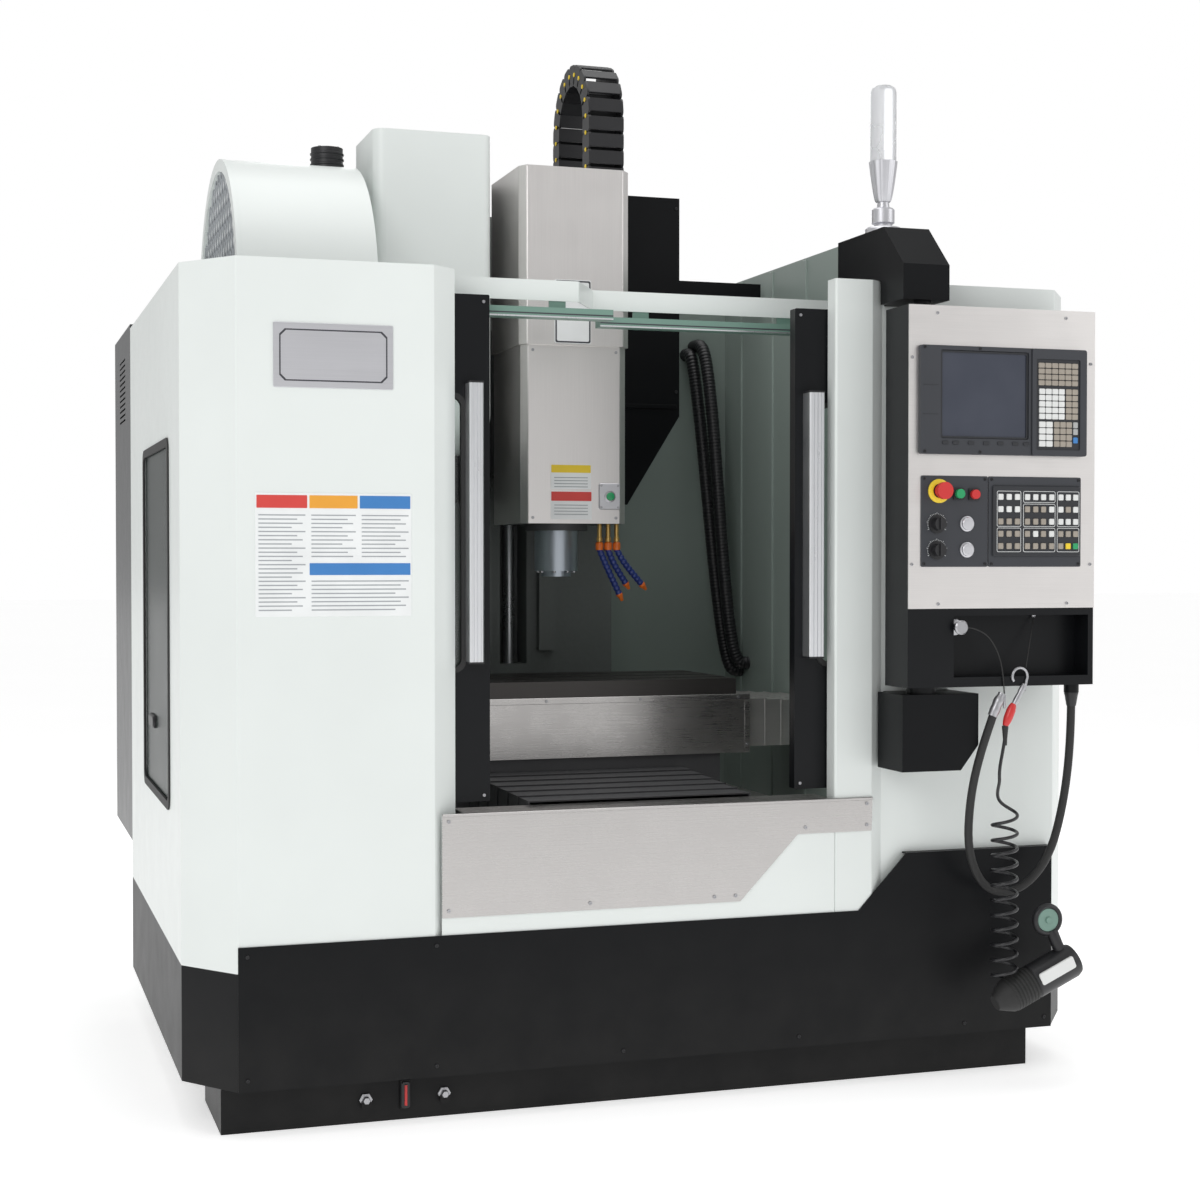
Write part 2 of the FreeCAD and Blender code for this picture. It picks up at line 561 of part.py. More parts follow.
def x_way_covers():
    """Folded covers over the ways either side of the table."""
    covers = []
    for x0, x1 in ((INNER_LEFT + 10, TABLE_X[0] - RUN_GAP), (TABLE_X[1] + RUN_GAP, INNER_RIGHT - 10)):
        outer = box(x0, x1, TABLE_Y[0] + 15, TABLE_Y[1] - 15, *COVER_Z)
        inner = box(x0 - 1, x1 + 1, TABLE_Y[0] + 15 + COVER_SHEET, TABLE_Y[1] - 15 - COVER_SHEET,
                    COVER_Z[0] - 1, COVER_Z[1] - COVER_SHEET)
        covers.append(less(outer, inner))
    return Part.makeCompound(covers)


def y_way_cover():
    x0 = Y_WAYS[0][0] - 30
    x1 = Y_WAYS[1][1] + 30
    y0 = ENCLOSURE_FRONT + APRON_LEDGE
    y1 = SADDLE_Y[0] - RUN_GAP
    outer = box(x0, x1, y0, y1, PAN_TOP, 715)
    inner = box(x0 + COVER_SHEET, x1 - COVER_SHEET, y0 + COVER_SHEET, y1 + 1, PAN_TOP - 1, 715 - COVER_SHEET)
    return less(outer, inner)


# ---------------------------------------------------------------- head and spindle

HEAD_X = (SPINDLE_X - 128, SPINDLE_X + 128)
HEAD_Y = (SPINDLE_Y - 105, SPINDLE_Y + 140)
HEAD_Z = (1500.0, 1900.0)
NOSE_RADIUS = 58.0
NOSE_Z = (1232.0, 1340.0)
SHAFT_RADIUS = 45.0
QUILL_RADIUS = 85.0
COVER_BOTTOM = 1357.0
COVER_STEP = 1825.0
COVER_TOP = 2285.0
COVER_LINE = [(-175.0, HEAD_Y[1]), (-175.0, -325.0), (-161.0, -350.0), (92.0, -350.0), (114.0, -325.0),
              (114.0, HEAD_Y[1])]
UPPER_LINE = [(-181.0, HEAD_Y[1]), (-181.0, -332.0), (-166.0, -360.0), (97.0, -360.0), (120.0, -332.0),
              (120.0, HEAD_Y[1])]
TAPER_RADIUS = 22.225
TAPER_DEPTH = 68.0
DRIVE_RING_DROP = 15.0


def head_casting():
    body = box(*HEAD_X, *HEAD_Y, *HEAD_Z)
    slide = box(SPINDLE_X - 120, SPINDLE_X + 120, HEAD_Y[1], COLUMN_WAY_FRONT - RUN_GAP, *HEAD_Z)
    quill = rod(SPINDLE_X, SPINDLE_Y, NOSE_Z[1] + RUN_GAP, "z", HEAD_Z[0] - NOSE_Z[1], QUILL_RADIUS)
    nose_plate = box(COVER_LINE[0][0] + SHEET, COVER_LINE[-1][0] - SHEET, *HEAD_Y, COVER_BOTTOM, COVER_BOTTOM + 10)
    bosses = [box(COVER_LINE[0][0] + SHEET, HEAD_X[0], SPINDLE_Y, SPINDLE_Y + 50, 1600, 1650),
              box(HEAD_X[1], COVER_LINE[-1][0] - SHEET, SPINDLE_Y, SPINDLE_Y + 50, 1600, 1650)]
    nut = box(SPINDLE_X - NUT_HALF, SPINDLE_X + NUT_HALF, COLUMN_WAY_FRONT - 2, Z_SCREW_Y + 35, 1650, 1750)
    bore = rod(SPINDLE_X, SPINDLE_Y, NOSE_Z[1] - 1, "z", HEAD_Z[1] - NOSE_Z[1] - 20, SHAFT_RADIUS + PIN_GAP)
    nut_bore = rod(SPINDLE_X, Z_SCREW_Y, 1649, "z", 102, NUT_BORE)
    return less(joined(body, slide, quill, nose_plate, nut, *bosses), bore, nut_bore)


def head_cover():
    lower = folded(COVER_LINE, SHEET, "z", COVER_BOTTOM, COVER_STEP)
    step = folded(UPPER_LINE, 10, "z", COVER_STEP - SHEET, COVER_STEP)
    upper = folded(UPPER_LINE, SHEET, "z", COVER_STEP - SHEET, COVER_TOP)
    lid = prism(UPPER_LINE, "z", COVER_TOP - SHEET, COVER_TOP)
    back = box(UPPER_LINE[0][0], UPPER_LINE[-1][0], HEAD_Y[1] - SHEET, HEAD_Y[1], HEAD_Z[1] + 20, COVER_TOP)
    return joined(lower, step, upper, lid, back)


def spindle():
    nose = rod(SPINDLE_X, SPINDLE_Y, NOSE_Z[0], "z", NOSE_Z[1] - NOSE_Z[0], NOSE_RADIUS)
    ring = rod(SPINDLE_X, SPINDLE_Y, NOSE_Z[0] - DRIVE_RING_DROP, "z", DRIVE_RING_DROP, NOSE_RADIUS * 0.7)
    shaft = rod(SPINDLE_X, SPINDLE_Y, NOSE_Z[1], "z", HEAD_Z[1] - NOSE_Z[1] - 40, SHAFT_RADIUS)
    taper = cone(SPINDLE_X, SPINDLE_Y, NOSE_Z[0] - DRIVE_RING_DROP, "z", TAPER_DEPTH, TAPER_RADIUS, 12.5)
    return less(joined(nose, ring, shaft), taper)


def spindle_motor():
    body = box(SPINDLE_X - 100, SPINDLE_X + 100, SPINDLE_Y - 100, SPINDLE_Y + 100, HEAD_Z[1], HEAD_Z[1] + 260)
    return joined(body, rod(SPINDLE_X, SPINDLE_Y, HEAD_Z[1] + 260, "z", 70, 90))


PIPE_XS = (54.0, 78.0, 102.0)
PIPE_Y = SPINDLE_Y - 90
PIPE_END = 1305.0
PIPE_RADIUS = 6.0
LINE_RADIUS = 9.0
NOZZLE_TIPS = [(112.0, -282.0, 1171.0), (132.0, -275.0, 1200.0), (180.0, -270.0, 1196.0)]


def coolant_lines():
    """Brass drop pipes under the head, each followed by a jointed plastic line."""
    lines = []
    for x, tip in zip(PIPE_XS, NOZZLE_TIPS):
        pipe = rod(x, PIPE_Y, PIPE_END, "z", COVER_BOTTOM - PIPE_END, PIPE_RADIUS)
        top = V(x, PIPE_Y, PIPE_END)
        knee = V(x + (tip[0] - x) * 0.25, PIPE_Y, PIPE_END - 50)
        spine = Part.Wire(bent([top, knee, V(*tip)], [30]))
        ring = Part.Wire(Part.makeCircle(LINE_RADIUS, top, knee - top))
        lines.append(joined(pipe, spine.makePipeShell([ring], True, True)))
    return Part.makeCompound(lines)


def coolant_nozzles():
    nozzles = []
    for x, tip in zip(PIPE_XS, NOZZLE_TIPS):
        knee = V(x + (tip[0] - x) * 0.25, PIPE_Y, PIPE_END - 50)
        way = V(*tip) - knee
        nozzles.append(Part.makeCone(LINE_RADIUS, PIPE_RADIUS / 2, 26, V(*tip), way))
    return Part.makeCompound(nozzles)


# ---------------------------------------------------------------- cable chain

CHAIN_X = (60.0, 160.0)
CHAIN_Y = -10.0
CHAIN_Z = 2470.0
CHAIN_RADIUS = 140.0
CHAIN_HALF = 30.0


def cable_chain():
    """Arch of links from the head's cover up and over to the top of the column guard."""
    across = CHAIN_X[1] - CHAIN_X[0]
    arch = rod(CHAIN_X[0], CHAIN_Y, CHAIN_Z, "x", across, CHAIN_RADIUS + CHAIN_HALF)
    hollow = rod(CHAIN_X[0], CHAIN_Y, CHAIN_Z, "x", across, CHAIN_RADIUS - CHAIN_HALF)
    below = box(*CHAIN_X, -500, 500, CHAIN_Z - 300, CHAIN_Z)
    front = CHAIN_Y - CHAIN_RADIUS
    back = CHAIN_Y + CHAIN_RADIUS
    legs = [box(*CHAIN_X, front - CHAIN_HALF, front + CHAIN_HALF, COVER_TOP, CHAIN_Z),
            box(*CHAIN_X, back - CHAIN_HALF, back + CHAIN_HALF, GUARD_TOP, CHAIN_Z)]
    return joined(less(arch, hollow, below), *legs)


# ---------------------------------------------------------------- tool changer

DRUM_Y = -135.0
DRUM_Z = 1890.0
DRUM_RADIUS = 395.0
DRUM_LEFT = -930.0
HUB_RADIUS = 60.0
AXLE_RADIUS = 30.0
POT_COUNT = 20
POT_RADIUS = 32.0
POT_CIRCLE = 310.0


def drum_cover():
    """Round housing, open to the left, with the hub that carries the tool disc."""
    outer = rod(DRUM_LEFT, DRUM_Y, DRUM_Z, "x", DRUM_RIGHT - DRUM_LEFT, DRUM_RADIUS)
    inner = rod(DRUM_LEFT - 1, DRUM_Y, DRUM_Z, "x", DRUM_RIGHT - DRUM_LEFT - SHEET + 1, DRUM_RADIUS - SHEET)
    rim = less(rod(DRUM_LEFT, DRUM_Y, DRUM_Z, "x", SHEET, DRUM_RADIUS),
               rod(DRUM_LEFT - 1, DRUM_Y, DRUM_Z, "x", SHEET + 2, DRUM_RADIUS - 30))
    hub = rod(DRUM_RIGHT - 80, DRUM_Y, DRUM_Z, "x", 80, HUB_RADIUS)
    bore = rod(DRUM_RIGHT - 81, DRUM_Y, DRUM_Z, "x", 70, AXLE_RADIUS + PIN_GAP)
    return less(joined(less(outer, inner), rim, hub), bore)


def drum_mesh():
    """Guard of crossed bars inside the rim of the drum housing."""
    start = DRUM_LEFT + SHEET
    ring = less(rod(start, DRUM_Y, DRUM_Z, "x", 4, DRUM_RADIUS - SHEET - 1),
                rod(start - 1, DRUM_Y, DRUM_Z, "x", 6, DRUM_RADIUS - 34))
    bars = []
    for turn in (-45, 45):
        for step in range(-3, 4):
            offset = step * 100
            half = math.sqrt((DRUM_RADIUS - 20) ** 2 - offset ** 2)
            bar = box(start, start + 4, DRUM_Y - half, DRUM_Y + half, DRUM_Z + offset - 3, DRUM_Z + offset + 3)
            bar.rotate(V(0, DRUM_Y, DRUM_Z), AXES["x"], turn)
            bars.append(bar)
    return joined(ring, *bars)


def tool_disc():
    disc = rod(-800, DRUM_Y, DRUM_Z, "x", 40, POT_CIRCLE + 45)
    axle = rod(-800, DRUM_Y, DRUM_Z, "x", DRUM_RIGHT - 11.5 + 800, AXLE_RADIUS)
    pots = []
    for i in range(POT_COUNT):
        turn = 2 * math.pi * i / POT_COUNT
        y = DRUM_Y + POT_CIRCLE * math.cos(turn)
        z = DRUM_Z + POT_CIRCLE * math.sin(turn)
        pots.append(rod(-870, y, z, "x", 130, POT_RADIUS))
    return joined(disc, axle, *pots)


CHANGER_X = (-560.0, -250.0)
CHANGER_Y = (-330.0, -60.0)
CHANGER_Z = (1540.0, 2360.0)


def changer_cover():
    """Tall housing of the tool arm: round at the foot, soft edges, joined to the drum by a short neck."""
    shells = []
    for inset in (0, SHEET):
        body = box(CHANGER_X[0] + inset, CHANGER_X[1] - inset, CHANGER_Y[0] + inset, CHANGER_Y[1] - inset,
                   CHANGER_Z[0] + inset, CHANGER_Z[1] - inset)
        foot = [e for e in body.Edges if e.BoundBox.ZMax < CHANGER_Z[0] + 10 and e.BoundBox.YLength < 1]
        body = body.makeFillet(110 - inset, foot)
        front = [e for e in body.Edges if e.BoundBox.YMax < CHANGER_Y[0] + 10 and e.BoundBox.XLength < 1]
        body = body.makeFillet(30 - inset, front)
        shells.append(body)
    neck = less(rod(DRUM_RIGHT, -195, DRUM_Z, "x", CHANGER_X[0] - DRUM_RIGHT + 1, 120),
                rod(DRUM_RIGHT - 1, -195, DRUM_Z, "x", CHANGER_X[0] - DRUM_RIGHT + 3, 117))
    return joined(less(*shells), neck)


def changer_motor():
    body = rod(-640, -100, DRUM_Z, "z", 455, 42)
    return less(body, rod(DRUM_LEFT, DRUM_Y, DRUM_Z, "x", DRUM_RIGHT - DRUM_LEFT, DRUM_RADIUS))


CONDUIT_RADIUS = 20.0
CONDUIT_STEP = 52.0
CONDUIT_REAR = (568.0, 1894.0)
CONDUIT_SIDE = (292.0, 925.0)


def interior_hoses():
    """Two flexible conduits from the rear panel down to the right inner wall, behind the table's travel."""
    tubes = []
    for step in (0, CONDUIT_STEP):
        x = CONDUIT_REAR[0] + step / 2
        top = CONDUIT_REAR[1] + step / 2
        y = CONDUIT_SIDE[0] - step
        low = CONDUIT_SIDE[1] + step / 2
        points = [(x, ENCLOSURE_BACK, top), (x, ENCLOSURE_BACK - 75 - step, top),
                  (INNER_RIGHT - 60, y, low), (INNER_RIGHT, y, low)]
        tubes.append(hose("interior hose", points, CONDUIT_RADIUS))
    return Part.makeCompound(tubes)


# ---------------------------------------------------------------- electrical cabinet

BAY_X = (-HALF_WIDTH, BASE_LEFT)
BAY_Y = (ENCLOSURE_BACK + SHEET, ENCLOSURE_BACK + 547)
BAY_Z = (465.0, 1928.0)
BAY_DOOR = 25.0


def electrical_cabinet():
    outer = box(*BAY_X, *BAY_Y, *BAY_Z)
    inner = box(BAY_X[0] + SHEET, BAY_X[1] - SHEET, BAY_Y[0] + SHEET, BAY_Y[1] + 1, BAY_Z[0] + SHEET, BAY_Z[1] - SHEET)
    slots = []
    for row in range(12):
        z = BAY_Z[1] - 260 + row * 16
        slots.append(box(BAY_X[0] - 1, BAY_X[0] + SHEET + 1, BAY_Y[0] + 180, BAY_Y[0] + 380, z, z + 6))
    return less(outer, inner, *slots)


def electrical_door():
    """Tray-shaped door across the back of the bay, hinged along its right edge."""
    y0 = BAY_Y[1] + RUN_GAP
    outer = box(*BAY_X, y0, y0 + BAY_DOOR, *BAY_Z)
    inner = box(BAY_X[0] + SHEET, BAY_X[1] - SHEET, y0 - 1, y0 + BAY_DOOR - SHEET, BAY_Z[0] + SHEET, BAY_Z[1] - SHEET)
    return less(outer, inner)


# ---------------------------------------------------------------- operator panel

PANEL_BACK = PANEL_FRONT + PANEL_DEPTH
SPLIT_Z = PANEL_BOTTOM + 185
RECESS_X = (650.0, 1010.0)
RECESS_Z = (PANEL_BOTTOM + 23, PANEL_BOTTOM + 168)
RECESS_DEPTH = 60.0
PIN_LENGTH = 35.0
COLLAR = 17.0
GLAND_X = 1000.0
GLAND_Y = -1090.0
GLAND_LENGTH = 22.0
GLAND_RADIUS = 18.0


def panel_box():
    """Swivelling casing: open behind the upper plate, with a shelf in its lower front."""
    outer = box(PANEL_LEFT, PANEL_RIGHT, PANEL_FRONT, PANEL_BACK, PANEL_BOTTOM, PANEL_TOP)
    upper = box(PANEL_LEFT + SHEET, PANEL_RIGHT - SHEET, PANEL_FRONT - 1, PANEL_BACK - SHEET,
                SPLIT_Z + SHEET, PANEL_TOP - SHEET)
    recess = box(*RECESS_X, PANEL_FRONT - 1, PANEL_FRONT + RECESS_DEPTH, *RECESS_Z)
    behind = box(PANEL_LEFT + SHEET, PANEL_RIGHT - SHEET, PANEL_FRONT + RECESS_DEPTH + SHEET, PANEL_BACK - SHEET,
                 PANEL_BOTTOM + SHEET, SPLIT_Z + SHEET + 1)
    top_pin = rod(PIVOT_X, PIVOT_Y, PANEL_TOP, "z", PIN_LENGTH, PIN_RADIUS)
    foot_pin = rod(PIVOT_X, PIVOT_Y, PANEL_BOTTOM - COLLAR - PIN_LENGTH, "z", COLLAR + PIN_LENGTH, PIN_RADIUS)
    collar = rod(PIVOT_X, PIVOT_Y, PANEL_BOTTOM - COLLAR + RUN_GAP, "z", COLLAR - RUN_GAP, PIN_RADIUS + 15)
    gland = rod(GLAND_X, GLAND_Y, PANEL_BOTTOM - GLAND_LENGTH, "z", GLAND_LENGTH, GLAND_RADIUS)
    return joined(less(outer, upper, recess, behind), top_pin, foot_pin, collar, gland)


BOARD_Z = (PANEL_BOTTOM + 283, PANEL_BOTTOM + 496)
SCREEN_Z = (PANEL_BOTTOM + 546, PANEL_BOTTOM + 799)
CONTROLS = {"estop_button": (606.0, BOARD_Z[1] - 36), "start_button": (657.0, BOARD_Z[1] - 42),
            "stop_button": (697.0, BOARD_Z[1] - 43), "feed_knob": (601.0, BOARD_Z[0] + 100),
            "spindle_knob": (601.0, BOARD_Z[0] + 39)}
STEM_RADIUS = 6.0
STEM_GAP = 0.2
PLATE_FRONT = PANEL_FRONT - SHEET
KEY_FRONT = PLATE_FRONT - SHEET


def stem_holes():
    return [rod(x, KEY_FRONT - 1, z, "y", 2 * SHEET + 2, STEM_RADIUS + STEM_GAP) for x, z in CONTROLS.values()]


def panel_plate():
    plate = box(PANEL_LEFT, PANEL_RIGHT, PLATE_FRONT, PANEL_FRONT, SPLIT_Z, PANEL_TOP)
    return less(plate, *stem_holes())


def screen_unit():
    outer = box(554, 993, PLATE_FRONT - 12, PLATE_FRONT, *SCREEN_Z)
    glass = box(572, 828, PLATE_FRONT - 13, PLATE_FRONT - 8, SCREEN_Z[0] + 52, SCREEN_Z[1] - 16)
    return less(outer, glass)


def key_board():
    return less(box(561, 985, KEY_FRONT, PLATE_FRONT, *BOARD_Z), *stem_holes())


def pressed(name, radius, depth, travel):
    """Push button: cap in front of the key board, stem through it."""
    x, z = CONTROLS[name]
    cap = rod(x, KEY_FRONT - travel - 1 - depth, z, "y", depth, radius)
    return joined(cap, rod(x, KEY_FRONT - travel - 2, z, "y", 2 * SHEET + travel + 12, STEM_RADIUS))


def estop_button():
    x, z = CONTROLS["estop_button"]
    button = pressed("estop_button", 14, 20, 6)
    return joined(button, rod(x, KEY_FRONT - 35, z, "y", 12, 20))


def knob(name):
    """Round knob with a pointer bar, on a stem through the key board."""
    x, z = CONTROLS[name]
    skirt = rod(x, KEY_FRONT - RUN_GAP - 4, z, "y", 4, 22)
    cap = rod(x, KEY_FRONT - RUN_GAP - 22, z, "y", 18, 15)
    bar = box(x - 3, x + 3, KEY_FRONT - RUN_GAP - 26, KEY_FRONT - RUN_GAP - 20, z - 13, z + 15)
    return joined(skirt, cap, bar, rod(x, KEY_FRONT - 1, z, "y", 2 * SHEET + 12, STEM_RADIUS))


HOOD_X = (PANEL_LEFT, PANEL_LEFT + 120)
HOOD_BOTTOM = PANEL_TOP + 16
HOOD_TOP = RIGHT_TOP + 125
HOOD_FRONT = PIVOT_Y - 35
HOOD_OUTLINE = [(-760.0, RIGHT_TOP), (-760.0, HOOD_TOP), (-1015.0, HOOD_TOP), (HOOD_FRONT, HOOD_TOP - 101),
                (HOOD_FRONT, HOOD_BOTTOM), (RIGHT_PANEL_Y - RUN_GAP, HOOD_BOTTOM),
                (RIGHT_PANEL_Y - RUN_GAP, RIGHT_TOP)]


def fin_corner(low, high):
    """Room for the cabinet's corner beside its front panel, which the hood and the bracket clear."""
    return box(OPENING_RIGHT, OPENING_RIGHT + 137, ENCLOSURE_FRONT - RUN_GAP, RIGHT_PANEL_Y + 1, low, high)


def panel_hood():
    """Folded hood over the panel's top pivot, resting on the cabinet."""
    outer = prism(HOOD_OUTLINE, "x", *HOOD_X)
    low = HOOD_BOTTOM + SHEET
    hollow = [(-760 - SHEET, RIGHT_TOP + SHEET), (-760 - SHEET, HOOD_TOP - SHEET),
              (-1015 + SHEET / 2, HOOD_TOP - SHEET), (HOOD_FRONT + SHEET, HOOD_TOP - 101 - SHEET / 2),
              (HOOD_FRONT + SHEET, low), (RIGHT_PANEL_Y - RUN_GAP - SHEET, low),
              (RIGHT_PANEL_Y - RUN_GAP - SHEET, RIGHT_TOP + SHEET)]
    inner = prism(hollow, "x", HOOD_X[0] + SHEET, HOOD_X[1] - SHEET)
    boss = rod(PIVOT_X, PIVOT_Y, HOOD_BOTTOM, "z", 40, PIN_RADIUS + 12)
    socket = rod(PIVOT_X, PIVOT_Y, HOOD_BOTTOM - 1, "z", PIN_LENGTH + 1, PIN_RADIUS + PIN_GAP)
    return less(joined(less(outer, inner), boss), socket, fin_corner(HOOD_BOTTOM - 1, RIGHT_TOP))


BRACKET_TOP = PANEL_BOTTOM - COLLAR


def panel_bracket():
    """Arm on the cabinet's front that carries the panel's foot pin."""
    low = BRACKET_TOP - 181
    outline = [(526, BRACKET_TOP), (725, BRACKET_TOP), (725, low + 59), (679, low), (526, low)]
    hollow = [(530, BRACKET_TOP - 40), (721, BRACKET_TOP - 40), (721, low + 61), (677, low + 4), (530, low + 4)]
    arm = prism(outline, "y", PIVOT_Y - 45, RIGHT_PANEL_Y)
    room = prism(hollow, "y", PIVOT_Y - 41, RIGHT_PANEL_Y - 4)
    socket = rod(PIVOT_X, PIVOT_Y, BRACKET_TOP - PIN_LENGTH - 1, "z", PIN_LENGTH + 2, PIN_RADIUS + PIN_GAP)
    return less(arm, room, socket, fin_corner(BRACKET_TOP - 200, BRACKET_TOP + 10))


def signal_lamp():
    x = HOOD_X[0] + 60
    y = -890
    collar = rod(x, y, HOOD_TOP, "z", 20, 45)
    holder = cone(x, y, HOOD_TOP + 20, "z", 105, 40, 33)
    tube = rod(x, y, HOOD_TOP + 125, "z", 243, 32)
    return joined(collar, holder, tube)


# ---------------------------------------------------------------- hose, gun and hanger on the panel

HANGER_X = 785.0
HANGER_Y = -1150.0
COUPLER_Z = (PANEL_BOTTOM - 94, PANEL_BOTTOM - 27)
PEG_X = 661.0
PEG_Z = PANEL_BOTTOM + 141
WIRE_RADIUS = 2.5
COIL_Z = (PANEL_BOTTOM - 712, PANEL_BOTTOM - 272)
COIL_RADIUS = 36.0
COIL_HOSE_RADIUS = 4.0
SUPPLY_RADIUS = 10.0


def hose_hanger():
    """Peg in the panel's shelf, the wire looped over it, and the quick coupler that the wire carries."""
    back = PANEL_FRONT + RECESS_DEPTH
    peg = joined(rod(PEG_X, HANGER_Y - 10, PEG_Z, "y", back - HANGER_Y + 10, 6),
                 rod(PEG_X, HANGER_Y - 18, PEG_Z, "y", 10, 11))
    loop = [(PEG_X, HANGER_Y, PEG_Z), (PEG_X + 60, HANGER_Y, PEG_Z - 6), (PEG_X + 104, HANGER_Y, PEG_Z - 60),
            (HANGER_X - 6, HANGER_Y, PEG_Z - 118), (HANGER_X, HANGER_Y, COUPLER_Z[1] - 5)]
    wire = hose("hanger wire", loop, WIRE_RADIUS)
    coupler = rod(HANGER_X, HANGER_Y, COUPLER_Z[0], "z", COUPLER_Z[1] - COUPLER_Z[0], 11)
    return joined(peg, wire, coupler)


def coil_lead():
    route = [(HANGER_X, HANGER_Y, COUPLER_Z[0]), (HANGER_X, HANGER_Y, 830), (HANGER_X - 11, HANGER_Y, 790),
             (HANGER_X - 14, HANGER_Y, 745), (HANGER_X - 8, HANGER_Y, 715), (HANGER_X - 8, HANGER_Y, COIL_Z[1])]
    return hose("coil lead", route, COIL_HOSE_RADIUS)


def coil_hose():
    return rod(HANGER_X, HANGER_Y, COIL_Z[0], "z", COIL_Z[1] - COIL_Z[0], COIL_RADIUS)


def air_gun():
    """Gun hanging at the coil's foot: a lying body, a wheel at its far end."""
    body = rod(0, 0, 0, "x", 190, 42)
    nose = cone(-40, 0, 0, "x", 40, 18, 42)
    neck = rod(165, 0, 0, "z", 90, 14)
    wheel = rod(165, -12, 118, "y", 24, 40)
    gun = joined(body, nose, neck, wheel)
    gun.rotate(V(0, 0, 0), AXES["y"], -24)
    gun.translate(V(HANGER_X + 13, HANGER_Y, COIL_Z[0] - 24))
    return less(gun, rod(HANGER_X, HANGER_Y, COIL_Z[0], "z", 200, COIL_RADIUS + RUN_GAP))


def supply_hose():
    route = [(GLAND_X, GLAND_Y, PANEL_BOTTOM - GLAND_LENGTH), (GLAND_X, GLAND_Y, 825), (986, -1080, 665),
             (950, -1072, 530), (870, -1068, 455), (780, -1070, 462), (722, -1085, 555), (712, -1112, 690),
             (728, -1138, 815), (760, -1150, 912)]
    return hose("supply hose", route, SUPPLY_RADIUS)


# ---------------------------------------------------------------- output

PARTS = {
    "base_casting": base_casting, "levelling_feet": levelling_feet, "coolant_tank": coolant_tank,
    "y_screw": y_screw, "z_screw": z_screw, "x_screw": x_screw,
    "column": column, "column_guard": column_guard,
    "left_cabinet": left_cabinet, "right_cabinet": right_cabinet, "side_window": side_window,
    "rear_panels": rear_panels, "inner_walls": inner_walls, "chip_pan": chip_pan,
    "front_skirt": front_skirt, "side_skirts": side_skirts, "front_apron": front_apron,
    "front_panel": front_panel,
    "top_beam": top_beam, "door_rails": door_rails,
    "left_door": left_door, "right_door": right_door,
    "left_handle": lambda: handle(LEFT_DOOR_X + DOOR_WIDTH - 57, 33),
    "right_handle": lambda: handle(RIGHT_DOOR_X + 21, 38),
    "saddle": saddle, "table": table, "table_guard": table_guard,
    "x_way_covers": x_way_covers, "y_way_cover": y_way_cover,
    "head_casting": head_casting, "head_cover": head_cover, "spindle": spindle, "spindle_motor": spindle_motor,
    "coolant_lines": coolant_lines, "coolant_nozzles": coolant_nozzles, "cable_chain": cable_chain,
    "drum_cover": drum_cover, "drum_mesh": drum_mesh, "tool_disc": tool_disc,
    "changer_cover": changer_cover, "changer_motor": changer_motor, "interior_hoses": interior_hoses,
    "electrical_cabinet": electrical_cabinet, "electrical_door": electrical_door,
    "panel_box": panel_box, "panel_plate": panel_plate, "screen_unit": screen_unit, "key_board": key_board,
    "estop_button": estop_button,
    "start_button": lambda: pressed("start_button", 11, 9, 4),
    "stop_button": lambda: pressed("stop_button", 11, 9, 4),
    "feed_knob": lambda: knob("feed_knob"), "spindle_knob": lambda: knob("spindle_knob"),
    "panel_hood": panel_hood, "panel_bracket": panel_bracket, "signal_lamp": signal_lamp,
    "hose_hanger": hose_hanger, "coil_lead": coil_lead, "coil_hose": coil_hose, "air_gun": air_gun,
    "supply_hose": supply_hose,
}

os.makedirs("parts", exist_ok=True)
for name, make in PARTS.items():
    save(name, make())
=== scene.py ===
import math

import bpy
import numpy as np
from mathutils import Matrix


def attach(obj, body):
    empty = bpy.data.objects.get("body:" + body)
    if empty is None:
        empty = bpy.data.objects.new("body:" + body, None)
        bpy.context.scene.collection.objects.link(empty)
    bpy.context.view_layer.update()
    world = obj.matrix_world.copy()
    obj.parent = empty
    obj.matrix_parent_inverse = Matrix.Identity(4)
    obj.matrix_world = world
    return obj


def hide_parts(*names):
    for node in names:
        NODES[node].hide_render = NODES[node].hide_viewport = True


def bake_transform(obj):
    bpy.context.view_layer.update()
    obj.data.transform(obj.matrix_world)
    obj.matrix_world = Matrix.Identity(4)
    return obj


bl_info = {
    "name": "Machining centre looks",
    "version": (1, 0, 0),
    "blender": (4, 5, 0),
    "location": "View3D > Sidebar > Machine",
    "description": "Finishes and detail pieces for a vertical machining centre",
    "category": "Object",
}

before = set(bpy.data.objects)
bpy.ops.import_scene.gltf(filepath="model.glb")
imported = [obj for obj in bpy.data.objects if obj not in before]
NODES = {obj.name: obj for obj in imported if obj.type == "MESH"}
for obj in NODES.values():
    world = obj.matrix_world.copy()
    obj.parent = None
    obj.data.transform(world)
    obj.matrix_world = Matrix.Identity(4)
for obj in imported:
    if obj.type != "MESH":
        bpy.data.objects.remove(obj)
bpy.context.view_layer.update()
MM = 0.001


# ---- surfaces

def loft(rings, ring_shaped=False):
    """Skin over a stack of closed rings: point (u, v) is rings[v][u], with quads between neighbours.

    A plain stack gets a face on each end, and a ring-shaped one is joined from its last ring to its first.
    """
    rings = np.asarray(rings, float)
    count, width = rings.shape[:2]
    index = np.arange(count * width).reshape(count, width)
    if ring_shaped:
        index = np.vstack([index, index[:1]])
    beside = np.roll(index, -1, axis=1)
    quads = np.stack([index[:-1], beside[:-1], beside[1:], index[1:]], -1).reshape(-1, 4)
    points = rings.reshape(-1, 3)
    faces = quads.tolist()
    if not ring_shaped:
        faces += [index[0][::-1].tolist(), index[-1].tolist()]
    return points, outward(points, faces)


